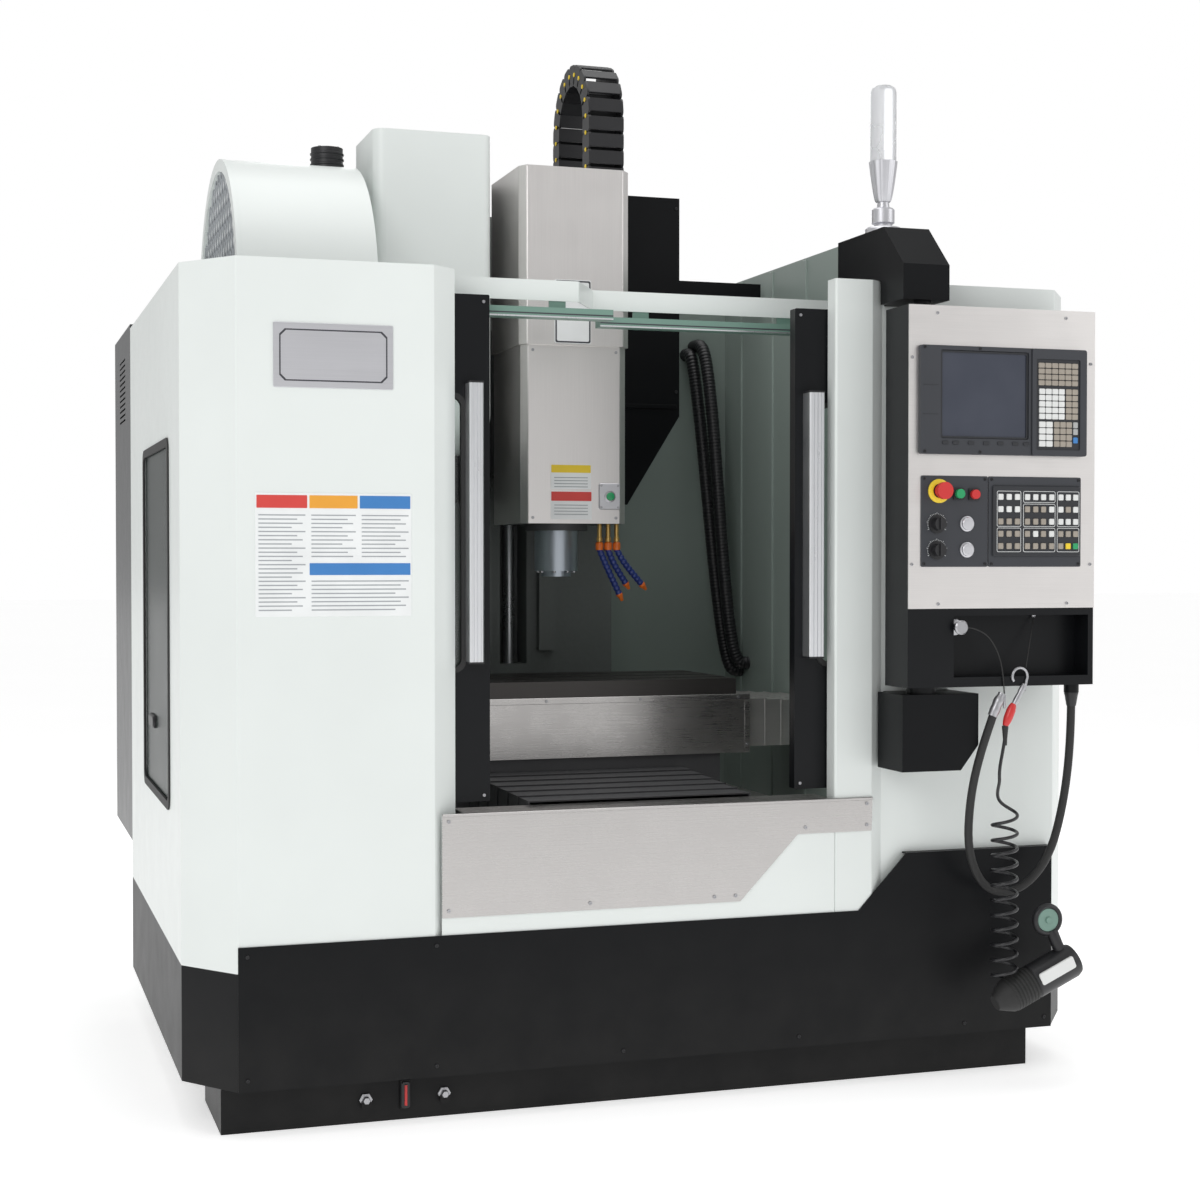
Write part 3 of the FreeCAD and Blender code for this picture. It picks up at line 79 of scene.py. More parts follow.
def outward(points, faces):
    """Turn every face round when the signed volume, the sum of a . (b x c) / 6 over fans, is negative."""
    corners = [(f[0], f[i], f[i + 1]) for f in faces for i in range(1, len(f) - 1)]
    a, b, c = (points[np.array(corners)[:, k]] - points.mean(0) for k in range(3))
    volume = np.einsum("ij,ij->i", a, np.cross(b, c)).sum()
    return [f[::-1] for f in faces] if volume < 0 else faces


def lifted(outline, level, axis):
    """Flat outline (a, b) at a level along an axis: as (level, a, b), (a, level, b) or (a, b, level)."""
    a, b = np.asarray(outline, float).T
    level = np.full(len(a), float(level))
    order = {"x": (level, a, b), "y": (a, level, b), "z": (a, b, level)}[axis]
    return np.stack(order, -1)


def rounded(a, b, radius=0.0, steps=5):
    """Rectangle a by b with quarter circles: corner + radius * (cos t, sin t), t over each quarter."""
    radius = max(radius, 0.01)
    turn = np.linspace(0, math.pi / 2, steps)
    quarters = []
    for k, (ca, cb) in enumerate(((a[1], b[1]), (a[0], b[1]), (a[0], b[0]), (a[1], b[0]))):
        ma = ca - radius if ca == a[1] else ca + radius
        mb = cb - radius if cb == b[1] else cb + radius
        angle = turn + k * math.pi / 2
        quarters.append(np.stack([ma + radius * np.cos(angle), mb + radius * np.sin(angle)], -1))
    return np.concatenate(quarters)


def smooth(points, times=3):
    """Corner cutting: each pass puts points at 1/4 and 3/4 of every run, which tends to a smooth spline."""
    points = np.asarray(points, float)
    for _ in range(times):
        near = 0.75 * points[:-1] + 0.25 * points[1:]
        far = 0.25 * points[:-1] + 0.75 * points[1:]
        inner = np.stack([near, far], 1).reshape(-1, 3)
        points = np.vstack([points[:1], inner[1:-1], points[-1:]])
    return points


def resampled(points, spacing):
    """Points at equal arc length along a polyline, by linear interpolation on its running length."""
    points = np.asarray(points, float)
    run = np.concatenate([[0], np.cumsum(np.linalg.norm(np.diff(points, axis=0), axis=1))])
    at = np.linspace(0, run[-1], max(2, int(run[-1] / spacing) + 1))
    return np.stack([np.interp(at, run, points[:, k]) for k in range(3)], -1), at


class Shape:
    """Closed skins gathered into one mesh, in millimetres."""

    def __init__(self):
        self.points = []
        self.faces = []
        self.count = 0

    def add(self, skin):
        points, faces = skin
        self.points.append(points)
        self.faces += [[i + self.count for i in f] for f in faces]
        self.count += len(points)
        return self

    def slab(self, a, b, depth, radius=0.0, edge=0.0, axis="y", steps=5):
        """Rounded rectangle carried from depth[0] to depth[1], its far edge chamfered by edge."""
        out = math.copysign(1, depth[1] - depth[0])
        inner = rounded((a[0] + edge, a[1] - edge), (b[0] + edge, b[1] - edge), radius - edge, steps)
        outer = rounded(a, b, radius, steps)
        rings = [lifted(outer, depth[0], axis), lifted(outer, depth[1] - out * edge, axis)]
        if edge:
            rings.append(lifted(inner, depth[1], axis))
        return self.add(loft(rings))

    def band(self, outer, inner, depth, axis="y"):
        """Frame between two outlines with the same number of points, carried from depth[0] to depth[1]."""
        rings = [lifted(outer, depth[0], axis), lifted(outer, depth[1], axis),
                 lifted(inner, depth[1], axis), lifted(inner, depth[0], axis)]
        return self.add(loft(rings, ring_shaped=True))

    def prism(self, outline, depth, axis="z"):
        """Any flat outline carried straight from depth[0] to depth[1]."""
        return self.add(loft([lifted(outline, d, axis) for d in depth]))

    def turned(self, centre, axis, profile, steps=24):
        """Profile (radius, height) turned about an axis: centre + height * axis + radius * (cos t, sin t)."""
        angle = np.linspace(0, 2 * math.pi, steps, endpoint=False)
        ring = np.stack([np.cos(angle), np.sin(angle)], -1)
        rings = np.stack([lifted(r * ring, h, axis) for r, h in profile])
        return self.add(loft(rings + np.asarray(centre, float)))

    def tube(self, path, radius, across=(0, 1, 0), steps=14):
        """Circle carried along a path: p + r (cos t n + sin t b), n = tangent x across, b = tangent x n."""
        path = np.asarray(path, float)
        tangent = np.gradient(path, axis=0)
        tangent /= np.linalg.norm(tangent, axis=1, keepdims=True)
        side = np.cross(tangent, np.asarray(across, float))
        side /= np.linalg.norm(side, axis=1, keepdims=True)
        up = np.cross(tangent, side)
        angle = np.linspace(0, 2 * math.pi, steps, endpoint=False)[:, None]
        radius = np.broadcast_to(np.asarray(radius, float), len(path))[:, None, None]
        circle = np.cos(angle) * side[:, None] + np.sin(angle) * up[:, None]
        return self.add(loft(path[:, None] + radius * circle))

    def tilt(self, degrees, centre):
        """Turn about the Y axis, x towards z, then move the origin to centre."""
        turn = math.radians(degrees)
        moved = []
        for p in self.points:
            x = p[:, 0] * math.cos(turn) - p[:, 2] * math.sin(turn)
            z = p[:, 0] * math.sin(turn) + p[:, 2] * math.cos(turn)
            moved.append(np.stack([x, p[:, 1], z], -1) + np.asarray(centre, float))
        self.points = moved
        return self


def screws(centres, radius=4.0, height=3.0, axis="y", out=-1, steps=12):
    """Round heads with a socket, standing out along an axis: wall, rounded rim, flat and a sunk middle."""
    profile = [(radius, 0), (radius, 0.6 * height * out), (0.85 * radius, height * out),
               (0.5 * radius, height * out), (0.45 * radius, 0.35 * height * out)]
    shape = Shape()
    for centre in centres:
        shape.turned(centre, axis, profile, steps)
    return shape


def slabs(areas, depth, radius=0.0, edge=0.0, axis="y", steps=5):
    """A slab for each area (a, b), all between the same depths."""
    shape = Shape()
    for a, b in areas:
        shape.slab(a, b, depth, radius, edge, axis, steps)
    return shape


def frame_band(a, b, radius, width, depth, axis="y", inner_radius=None, steps=5):
    """Band of one width inside a rounded rectangle a by b."""
    inside = radius - width if inner_radius is None else inner_radius
    outer = rounded(a, b, radius, steps)
    inner = rounded((a[0] + width, a[1] - width), (b[0] + width, b[1] - width), inside, steps)
    return Shape().band(outer, inner, depth, axis)


def ring_outline(centre, radius, steps):
    """Circle of points about a flat centre."""
    angle = np.linspace(0, 2 * math.pi, steps, endpoint=False)
    return np.stack([centre[0] + radius * np.cos(angle), centre[1] + radius * np.sin(angle)], -1)


def placed(name, data, finish, body, stands_for=()):
    """Put data in the scene with its finish and on its body."""
    obj = bpy.data.objects.new(name, data)
    bpy.context.scene.collection.objects.link(obj)
    data.materials.append(FINISH[finish])
    if body:
        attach(obj, body)
    if stands_for:
        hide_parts(*stands_for)
    return obj


def piece(name, shape, finish, body="frame", *stands_for, slot=None, crease=35.0):
    """A shape's mesh as a piece that rides on a body and stands for CAD nodes."""
    mesh = bpy.data.meshes.new(name)
    mesh.from_pydata((np.concatenate(shape.points) * MM).tolist(), [], shape.faces)
    mesh.update()
    mesh.shade_smooth()
    mesh.set_sharp_from_angle(angle=math.radians(crease))
    return placed(name, mesh, finish, body, stands_for)


# ---- finishes

class Number:
    """A number socket of a material; arithmetic on it adds Math nodes."""

    def __init__(self, finish, socket):
        self.finish = finish
        self.socket = socket

    def __add__(self, other):
        return self.finish.math("ADD", self, other)

    def __mul__(self, other):
        return self.finish.math("MULTIPLY", self, other)

    def __sub__(self, other):
        return self.finish.math("SUBTRACT", self, other)

    def __rsub__(self, other):
        return self.finish.math("SUBTRACT", other, self)

    __radd__ = __add__
    __rmul__ = __mul__

    def clamped(self):
        return self.finish.math("MAXIMUM", self.finish.math("MINIMUM", self, 1.0), 0.0)


class Finish:
    """A material built round one Principled shader."""

    def __init__(self, name, **constants):
        self.material = bpy.data.materials.new(name)
        self.material.use_nodes = True
        self.nodes = self.material.node_tree.nodes
        self.links = self.material.node_tree.links
        self.shader = next(n for n in self.nodes if n.type == "BSDF_PRINCIPLED")
        for socket, value in constants.items():
            self.shader.inputs[socket.replace("_", " ")].default_value = value
        self.place = self.node("ShaderNodeTexCoord").outputs["Object"]

    def node(self, kind, settings=None, inputs=None):
        """Any node: its type, its settings first, then values or links for its sockets."""
        node = self.nodes.new(kind)
        for key, value in (settings or {}).items():
            setattr(node, key, value)
        for key, value in (inputs or {}).items():
            if isinstance(value, Number):
                self.links.new(value.socket, node.inputs[key])
            elif isinstance(value, bpy.types.NodeSocket):
                self.links.new(value, node.inputs[key])
            else:
                node.inputs[key].default_value = value
        return node

    def math(self, operation, *values):
        node = self.node("ShaderNodeMath", {"operation": operation}, dict(enumerate(values)))
        return Number(self, node.outputs[0])

    def noise(self, scale, detail=2.0, stretch=None):
        where = self.place
        if stretch:
            where = self.node("ShaderNodeMapping", None, {"Vector": self.place, "Scale": stretch}).outputs[0]
        node = self.node("ShaderNodeTexNoise", None, {"Vector": where, "Scale": scale, "Detail": detail})
        return Number(self, node.outputs["Fac"])

    def height(self):
        """Height over the floor, from 0 at the floor to 1 at 0.45 m."""
        axes = self.node("ShaderNodeSeparateXYZ", None, {"Vector": self.place})
        return (Number(self, axes.outputs["Z"]) * 2.2).clamped()

    def colours(self, first, second, share):
        node = self.node("ShaderNodeMix", {"data_type": "RGBA"},
                         {"Factor": share, 6: (*first, 1.0), 7: (*second, 1.0)})
        return node.outputs[2]

    def feed(self, socket, value):
        self.links.new(value.socket if isinstance(value, Number) else value, self.shader.inputs[socket])

    def tone(self, colour, dark, pale, share):
        """Base colour between a darker and a paler shade of one colour."""
        self.feed("Base Color", self.colours(shade(colour, dark), shade(colour, pale), share))

    def bump(self, height, strength, distance):
        node = self.node("ShaderNodeBump", None,
                         {"Height": height, "Strength": strength, "Distance": distance})
        self.links.new(node.outputs["Normal"], self.shader.inputs["Normal"])


def shade(colour, by):
    return tuple(min(1.0, c * by) for c in colour)


def painted(name, colour, roughness=0.42, peel=0.25, coat=0.15, dust=0.0, gloss=0.5):
    """Powder coat: broad uneven tone, fine orange peel, and dust towards the floor where asked."""
    f = Finish(name, Coat_Roughness=0.25, Specular_IOR_Level=gloss)
    cloud = f.noise(2.3, 3.0)
    grain = f.noise(520.0, 2.0)
    smudge = f.noise(9.0, 5.0)
    f.tone(colour, 0.93, 1.05, cloud)
    if dust:
        low = (1.0 - f.height()) * smudge * dust
        dusty = f.node("ShaderNodeMix", {"data_type": "RGBA"},
                       {"Factor": low.clamped(), 6: f.shader.inputs["Base Color"].links[0].from_socket,
                        7: (0.32, 0.30, 0.27, 1.0)})
        f.feed("Base Color", dusty.outputs[2])
    f.feed("Roughness", (roughness - 0.09) + smudge * 0.14 + grain * 0.04)
    f.feed("Coat Weight", smudge * (2 * coat))
    f.bump(grain, peel, 0.0004)
    return f.material


def brushed(name, colour, roughness=0.33, along="x", grain=1.0):
    """Brushed sheet: grain drawn out along one axis, with slow handling marks."""
    fine, long = 520.0, 5.0
    stretch = tuple(long if axis == along else fine for axis in "xyz")
    f = Finish(name, Metallic=0.92, Specular_IOR_Level=0.5)
    lines = f.noise(1.0, 3.0, stretch)
    cloud = f.noise(1.7, 3.0)
    marks = f.noise(14.0, 5.0)
    f.tone(colour, 0.9, 1.08, lines * 0.6 + cloud * 0.4)
    f.feed("Roughness", (roughness - 0.13) + lines * 0.16 + marks * 0.12)
    f.bump(lines, 0.18 * grain, 0.0003)
    return f.material


def cast(name, colour, roughness=0.6, metallic=0.0, coarse=90.0):
    """Cast surface: pitted skin under paint or oil, darker in its hollows."""
    f = Finish(name, Metallic=metallic)
    pits = f.noise(coarse, 6.0)
    broad = f.noise(3.1, 3.0)
    f.tone(colour, 0.78, 1.15, pits * 0.5 + broad * 0.5)
    f.feed("Roughness", (roughness - 0.12) + pits * 0.24)
    f.bump(pits, 0.5, 0.0008)
    return f.material


def machined(name, colour, roughness=0.3, along="x"):
    """Ground iron or steel: fine cross lines and an oil film that varies."""
    stretch = tuple(12.0 if axis == along else 340.0 for axis in "xyz")
    f = Finish(name, Metallic=0.85)
    lines = f.noise(1.0, 2.0, stretch)
    oil = f.noise(5.5, 4.0)
    f.tone(colour, 0.7, 1.2, oil * 0.7 + lines * 0.3)
    f.feed("Roughness", (roughness - 0.12) + oil * 0.2 + lines * 0.1)
    f.bump(lines, 0.2, 0.0003)
    return f.material


def moulded(name, colour, roughness=0.45, texture=0.3, coat=0.0):
    """Moulded plastic or rubber: fine spark texture and slight mottling."""
    f = Finish(name)
    spark = f.noise(1400.0, 2.0)
    broad = f.noise(11.0, 3.0)
    f.tone(colour, 0.88, 1.1, broad)
    f.feed("Roughness", (roughness - 0.08) + spark * 0.08 + broad * 0.08)
    if coat:
        f.feed("Coat Weight", broad * (2 * coat))
    f.bump(spark, texture, 0.0002)
    return f.material


def glassy(name, colour, roughness=0.03, through=1.0, bend=1.46):
    """Clear or milky pane with faint wiping marks."""
    f = Finish(name, Transmission_Weight=through, IOR=bend)
    wipe = f.noise(7.0, 4.0)
    f.tone(colour, 0.97, 1.0, wipe)
    f.feed("Roughness", roughness + wipe * 0.05)
    f.bump(f.noise(40.0, 1.0), 0.02, 0.0002)
    return f.material


def colour(name, description, value):
    return bpy.props.FloatVectorProperty(name=name, description=description, subtype="COLOR",
                                         size=3, min=0, max=1, default=value)


def length(name, description, value, low, high):
    return bpy.props.FloatProperty(name=name, description=description, subtype="DISTANCE",
                                   unit="LENGTH", default=value, min=low, max=high)


class MachineColours(bpy.types.PropertyGroup):
    """Colours of the machine's paint and plastics."""
    cabinet: colour("Cabinet", "Paint of the cabinets, beam and tool changer", (0.80, 0.84, 0.82))
    trim: colour("Trim", "Dark paint of skirts, tank, doors and panel box", (0.0045, 0.005, 0.006))
    electrical: colour("Electrical cabinet", "Paint of the cabinet at the rear", (0.035, 0.037, 0.04))
    # Inner walls: their green-grey tint, set far darker than their real off-white paint as painted shade for
    # the inside of the enclosure.
    inside: colour("Inside", "Paint of the inner walls", (0.30, 0.36, 0.33))
    steel: colour("Sheet steel", "Brushed stainless sheet", (0.80, 0.775, 0.76))
    controls: colour("Control fascia", "Moulded fascia of the screen and the keys", (0.035, 0.038, 0.046))


class MachineSizes(bpy.types.PropertyGroup):
    """Sizes of the small parts."""
    screw_radius: length("Screw head radius", "Radius of the sheet screws' heads", 0.0045, 0.002, 0.01)
    key_width: length("Key width", "Width of a key cap on the lower board", 0.013, 0.008, 0.016)
    coil_turns: bpy.props.IntProperty(name="Coil turns", description="Turns of the coiled lead",
                                      default=12, min=8, max=16)
    mesh_pitch: length("Mesh pitch", "Distance between strands of the tool drum's mesh", 0.042, 0.015, 0.06)
    link_pitch: length("Chain link pitch", "Length of a link of the cable chain", 0.044, 0.03, 0.08)


def settings():
    return bpy.context.scene.machine_colours, bpy.context.scene.machine_sizes


FINISH = {}


def make_finishes():
    """Every finish of the machine, by name."""
    c = settings()[0]
    cabinet, trim, steel, controls = (tuple(v) for v in (c.cabinet, c.trim, c.steel, c.controls))
    FINISH.update(
        cabinet=painted("cabinet_paint", cabinet, 0.38, 0.2, 0.2),
        trim=painted("trim_paint", trim, 0.42, 0.3, 0.03, dust=0.06, gloss=0.14),
        door=painted("door_paint", shade(trim, 1.3), 0.34, 0.2, 0.03, gloss=0.2),
        electrical=painted("electrical_paint", tuple(c.electrical), 0.4, 0.25, 0.15, dust=0.1),
        # Inner walls: painted shade, the wall paint made darker to stand in for the shade inside the
        # enclosure.
        inside=painted("inside_paint_with_painted_shade", tuple(c.inside), 0.4, 0.2, 0.2),
        rail_green=painted("rail_paint", (0.17, 0.29, 0.24), 0.42, 0.15),
        steel_x=brushed("sheet_grain_across", steel, 0.33, "x"),
        steel_z=brushed("sheet_grain_upright", steel, 0.36, "z"),
        apron=brushed("apron_steel", shade(steel, 0.66), 0.27, "x", 1.4),
        plate=brushed("plate_silver", (0.66, 0.66, 0.69), 0.38, "x", 0.6),
        fastener=machined("fastener_steel", (0.48, 0.48, 0.5), 0.3, "y"),
        table=machined("table_iron", (0.085, 0.08, 0.077), 0.42, "x"),
        ground=machined("ground_steel", (0.5, 0.51, 0.53), 0.28, "y"),
        nose=machined("spindle_steel", (0.54, 0.59, 0.65), 0.33, "z"),
        # Column and base: their own dark grey-green cast paint, made darker still as painted shade for the
        # dim inside of the enclosure.
        casting=cast("casting_paint_darkened_as_shade", (0.17, 0.185, 0.178), 0.5),
        iron=cast("bare_iron", (0.11, 0.11, 0.115), 0.55, 0.4),
        aluminium=brushed("drawn_aluminium", (0.80, 0.81, 0.83), 0.3, "z", 0.8),
        brass=machined("brass_pipe", (0.72, 0.47, 0.16), 0.3, "z"),
        plastic=moulded("black_plastic", (0.015, 0.015, 0.017), 0.4),
        rubber=moulded("black_rubber", (0.018, 0.018, 0.018), 0.62, 0.5),
        lead=moulded("lead_jacket", (0.012, 0.012, 0.014), 0.3, 0.15, 0.2),
        fascia=moulded("fascia_plastic", controls, 0.5, 0.35),
        keys_frame=moulded("key_frame", shade(controls, 0.6), 0.55, 0.4),
        screen=moulded("screen_glass", (0.045, 0.052, 0.075), 0.12, 0.02, 0.5),
        white_cap=moulded("white_caps", (0.78, 0.79, 0.78), 0.42, 0.2),
        beige_cap=moulded("beige_caps", (0.36, 0.32, 0.27), 0.45, 0.2),
        grey_cap=moulded("grey_caps", (0.42, 0.43, 0.43), 0.45, 0.2),
        yellow=moulded("yellow_plastic", (0.86, 0.62, 0.03), 0.4, 0.15),
        green=moulded("green_lens", (0.02, 0.36, 0.13), 0.25, 0.05, 0.3),
        red=moulded("red_plastic", (0.62, 0.03, 0.03), 0.33, 0.1, 0.2),
        orange=moulded("orange_plastic", (0.80, 0.17, 0.02), 0.4, 0.15),
        navy=moulded("navy_plastic", (0.02, 0.04, 0.20), 0.35, 0.15, 0.1),
        blue=moulded("blue_print", (0.05, 0.22, 0.55), 0.4, 0.1),
        print_orange=moulded("orange_print", (0.85, 0.38, 0.04), 0.4, 0.1),
        print_red=moulded("red_print", (0.68, 0.06, 0.05), 0.4, 0.1),
        print_grey=moulded("grey_print", (0.36, 0.38, 0.40), 0.5, 0.1),
        print_white=moulded("white_print", (0.86, 0.88, 0.88), 0.4, 0.1),
        print_dark=moulded("dark_print", (0.05, 0.05, 0.06), 0.4, 0.1),
        pane=glassy("door_pane", (0.86, 0.93, 0.90)),
        dark_pane=glassy("window_pane", (0.09, 0.11, 0.105), 0.22, 0.6, 1.09),
        milky=glassy("lamp_tube", (0.93, 0.94, 0.96), 0.25, 0.55),
    )


NODE_FINISH = {
    "cabinet": "left_cabinet right_cabinet front_panel top_beam drum_cover changer_cover",
    "trim": "coolant_tank front_skirt side_skirts panel_bracket panel_hood column_guard",
    "electrical": "electrical_cabinet electrical_door",
    "inside": "inner_walls rear_panels",
    "steel_x": "chip_pan panel_plate",
    "apron": "front_apron table_guard",
    "steel_z": "head_cover",
    "dark_pane": "side_window",
    "casting": "base_casting column",
    "iron": "levelling_feet saddle head_casting tool_disc",
    "table": "table",
    "ground": "x_screw y_screw z_screw",
    "nose": "spindle",
    "door": "panel_box",
    "plastic": "spindle_motor changer_motor feed_knob spindle_knob",
    "red": "estop_button stop_button",
    "green": "start_button",
    "rail_green": "door_rails",
}


class MACHINE_OT_finishes(bpy.types.Operator):
    """Make the finishes and put them on the machine's own parts"""
    bl_idname = "machine.finishes"
    bl_label = "Finishes"

    def execute(self, context):
        make_finishes()
        for finish, nodes in NODE_FINISH.items():
            for node in nodes.split():
                materials = NODES[node].data.materials
                if not len(materials):
                    materials.append(FINISH[finish])
                for k in range(len(materials)):
                    materials[k] = FINISH[finish]
        return {"FINISHED"}


# ---- camera and stage

CAMERA_PLACE = (-1.56615, -5.27204, 1.25943)
CAMERA_PITCH = 88.8537
CAMERA_YAW = -18.0309
SENSOR = 36.0
LENS = 1964.488 / 1200 * SENSOR
SKY_LIGHT = 0.52
FLOOR_REACH = 60.0
# name, place, aimed at, side, power
LIGHTS = (("key", (-3.8, -4.6, 4.2), (0.0, -0.9, 1.1), 3.0, 75),
          ("fill", (4.4, -3.6, 3.2), (0.2, -0.6, 1.1), 3.0, 36),
          ("top", (0.0, -0.4, 5.2), (0.0, -0.2, 1.0), 3.4, 55),
          ("rear", (1.5, 5.0, 3.6), (0.0, 0.4, 1.2), 3.0, 60))


def make_world():
    """White surroundings: full to the camera, and softer as a light."""
    world = bpy.data.worlds.new("studio")
    world.use_nodes = True
    tree = world.node_tree
    sky = tree.nodes["Background"]
    sky.inputs["Color"].default_value = (1.0, 1.0, 1.0, 1.0)
    ray = tree.nodes.new("ShaderNodeLightPath")
    strength = tree.nodes.new("ShaderNodeMapRange")
    strength.inputs["To Min"].default_value = SKY_LIGHT
    strength.inputs["To Max"].default_value = 1.0
    tree.links.new(ray.outputs["Is Camera Ray"], strength.inputs["Value"])
    tree.links.new(strength.outputs["Result"], sky.inputs["Strength"])
    return world


def make_floor():
    """Pale floor with a faint uneven tone."""
    paint = Finish("floor_paint", Roughness=0.8, Emission_Strength=0.50, Emission_Color=(1.0, 1.0, 1.0, 1.0))
    tone = paint.noise(0.8, 2.0)
    paint.feed("Base Color", paint.colours((0.90, 0.90, 0.90), (0.95, 0.95, 0.95), tone))
    mesh = bpy.data.meshes.new("floor")
    corners = [(x * FLOOR_REACH, y * FLOOR_REACH, 0) for x, y in ((-1, -1), (1, -1), (1, 1), (-1, 1))]
    mesh.from_pydata(corners, [], [(0, 1, 2, 3)])
    floor = bpy.data.objects.new("floor", mesh)
    floor.data.materials.append(paint.material)
    return floor


def make_light(name, place, target, size, power):
    """Square soft light turned from its place towards its target."""
    data = bpy.data.lights.new(name, "AREA")
    data.size = size
    data.energy = power
    lamp = bpy.data.objects.new(name, data)
    lamp.location = place
    aim = np.array(target) - np.array(place)
    flat = math.hypot(aim[0], aim[1])
    lamp.rotation_euler = (math.atan2(flat, -aim[2]), 0, math.atan2(aim[1], aim[0]) - math.pi / 2)
    return lamp


class MACHINE_OT_stage(bpy.types.Operator):
    """Camera, floor and soft lights"""
    bl_idname = "machine.stage"
    bl_label = "Camera, floor and lights"

    def execute(self, context):
        scene = bpy.context.scene
        camera = bpy.data.objects.new("camera", bpy.data.cameras.new("camera"))
        camera.location = CAMERA_PLACE
        camera.rotation_euler = (math.radians(CAMERA_PITCH), 0, math.radians(CAMERA_YAW))
        camera.data.sensor_width = SENSOR
        camera.data.lens = LENS
        camera.data.clip_end = 200.0
        for obj in (camera, make_floor(), *(make_light(*row) for row in LIGHTS)):
            scene.collection.objects.link(obj)
        scene.camera = camera
        scene.view_settings.view_transform = "Standard"
        scene.world = make_world()
        return {"FINISHED"}


# ---- cords

COIL_AXIS = (785.0, -1150.0)
LEAD_POINTS = [(785, -1150, 868), (785, -1150, 842), (780, -1150, 812), (772, -1150, 775),
               (770, -1150, 752)]
SUPPLY_POINTS = [(1000, -1090, 940), (1000, -1090, 825), (986, -1080, 665), (950, -1072, 530),
                 (870, -1068, 455), (780, -1070, 462), (722, -1085, 555), (712, -1112, 690),
                 (728, -1138, 815), (760, -1150, 912)]
TURN_POINTS = 14


def cord_curve(name, points, diameter, finish, *stands_for):
    """A cord on one smooth spline of order three through its own control points."""
    data = bpy.data.curves.new(name, "CURVE")
    data.dimensions = "3D"
    data.resolution_u = 6
    data.bevel_depth = diameter / 2
    data.bevel_resolution = 4
    data.use_fill_caps = True
    spline = data.splines.new("NURBS")
    spline.points.add(len(points) - 1)
    flat = np.ones((len(points), 4))
    flat[:, :3] = np.asarray(points, float) * MM
    spline.points.foreach_set("co", flat.ravel())
    spline.order_u = 3
    spline.use_endpoint_u = True
    return placed(name, data, finish, "panel", stands_for)


LAST_PART = 0.75
COIL_RADIUS = 30.0
COIL_Z = (736.0, 268.0)
FIRST_DROP = 66.0


def coil_points(turns):
    """Helix about the coil's axis, clockwise from the left to the back. It falls evenly, and by the first
    drop times 1 - exp(-4 t) besides, and its radius widens from 14 to the full one in half a turn."""
    turn = np.linspace(0, turns - LAST_PART, int((turns - LAST_PART) * TURN_POINTS) + 1)
    angle = math.pi - 2 * math.pi * turn
    radius = 14.0 + (COIL_RADIUS - 14.0) * np.clip(2 * turn, 0, 1)
    top, foot = COIL_Z
    height = top - FIRST_DROP * (1 - np.exp(-4 * turn)) - (top - foot - FIRST_DROP) * turn / turn[-1]
    x, y = COIL_AXIS
    return np.stack([x + radius * np.cos(angle), y + radius * np.sin(angle), height], -1)


class MACHINE_OT_cords(bpy.types.Operator):
    """Coiled lead of the hand unit and the supply hose"""
    bl_idname = "machine.cords"
    bl_label = "Cords"

    def execute(self, context):
        turns = settings()[1].coil_turns
        foot = [(806, -1121, 262), (828, -1130, 254), (846, -1146, 246)]
        route = [*LEAD_POINTS, *coil_points(turns), *foot]
        lead = cord_curve("coiled_lead", route, 0.008, "lead", "coil_lead", "coil_hose")
        hand_grip = make_hand_unit()
        relief = Shape().turned(LEAD_POINTS[0], "z", [(4.6, -46), (5.2, -30), (7.5, -6), (7.5, 0)], 20)
        strain = piece("lead_strain_relief", relief, "rubber", "panel")
        hose = cord_curve("supply_line", SUPPLY_POINTS, 0.020, "rubber", "supply_hose")
        end = Shape().tube(resampled([(752, -1147, 892), (776, -1150, 946)], 6)[0],
                           11.5 + np.array([0, 0, 1, 1, 0, 1, 1, 0, -3, -3]), steps=18)
        fitting = piece("supply_fitting", end, "fastener", "panel")
        profile = [(10.5, -34), (12, -30), (16, -6), (17, -4), (17, 0)]
        nut = piece("supply_gland", Shape().turned(SUPPLY_POINTS[0], "z", profile, 24), "plastic", "panel")
        return {"FINISHED"}


HAND_PLACE = (798, -1150, 226)
HAND_TILT = 24
WHEEL = np.array([165, 0, 118])
WHEEL_RADIUS = 33.0
RIM_RADIUS = (6.5, 9.0)


def make_hand_unit():
    """Hand unit at the lead's foot: ribbed grip, pale lid, and a wheel on its neck.

    The wheel's rim is a ring: (R + a cos t) (cos u, sin u) across the axis and b sin t along it.
    """
    ribs = [(18, -40), (30, -22), (40, -4)]
    for at in range(2, 65, 9):
        ribs += [(40, at), (42, at + 2), (42, at + 6), (40, at + 8)]
    grip = Shape().turned((0, 0, 0), "x", ribs, 32)
    body = Shape().turned((0, 0, 0), "x", [(37, 64), (41.5, 70), (41.5, 178), (37, 190), (18, 190.5)], 32)
    body.turned((WHEEL[0], 0, 0), "z", [(14, 30), (14, 84), (10, 90)], 20)
    lid = Shape().slab((74, 172), (-4, 26), (-38, -43), 5, 1.5)
    rings = [lifted(ring_outline((0, 0), WHEEL_RADIUS + RIM_RADIUS[0] * math.cos(t), 48),
                    RIM_RADIUS[1] * math.sin(t), "y")
             for t in np.linspace(0, 2 * math.pi, 12, endpoint=False)]
    rim = Shape().add(loft(np.array(rings) + WHEEL, ring_shaped=True))
    disc = Shape().turned(WHEEL, "y", [(29, 5), (29, -3), (27, -5), (8, -5), (7, -9), (4, -9)], 32)
    for shape in (grip, body, lid, rim, disc):
        shape.tilt(HAND_TILT, HAND_PLACE)
    hand_grip = piece("hand_grip", grip, "rubber", "panel")
    piece("hand_body", body, "plastic", "panel", "air_gun")
    piece("hand_lid", lid, "white_cap", "panel")
    piece("wheel_rim", rim, "plastic", "panel")
    piece("wheel_disc", disc, "rail_green", "panel")
    return hand_grip


# ---- enclosure

FRONT = -1000.0


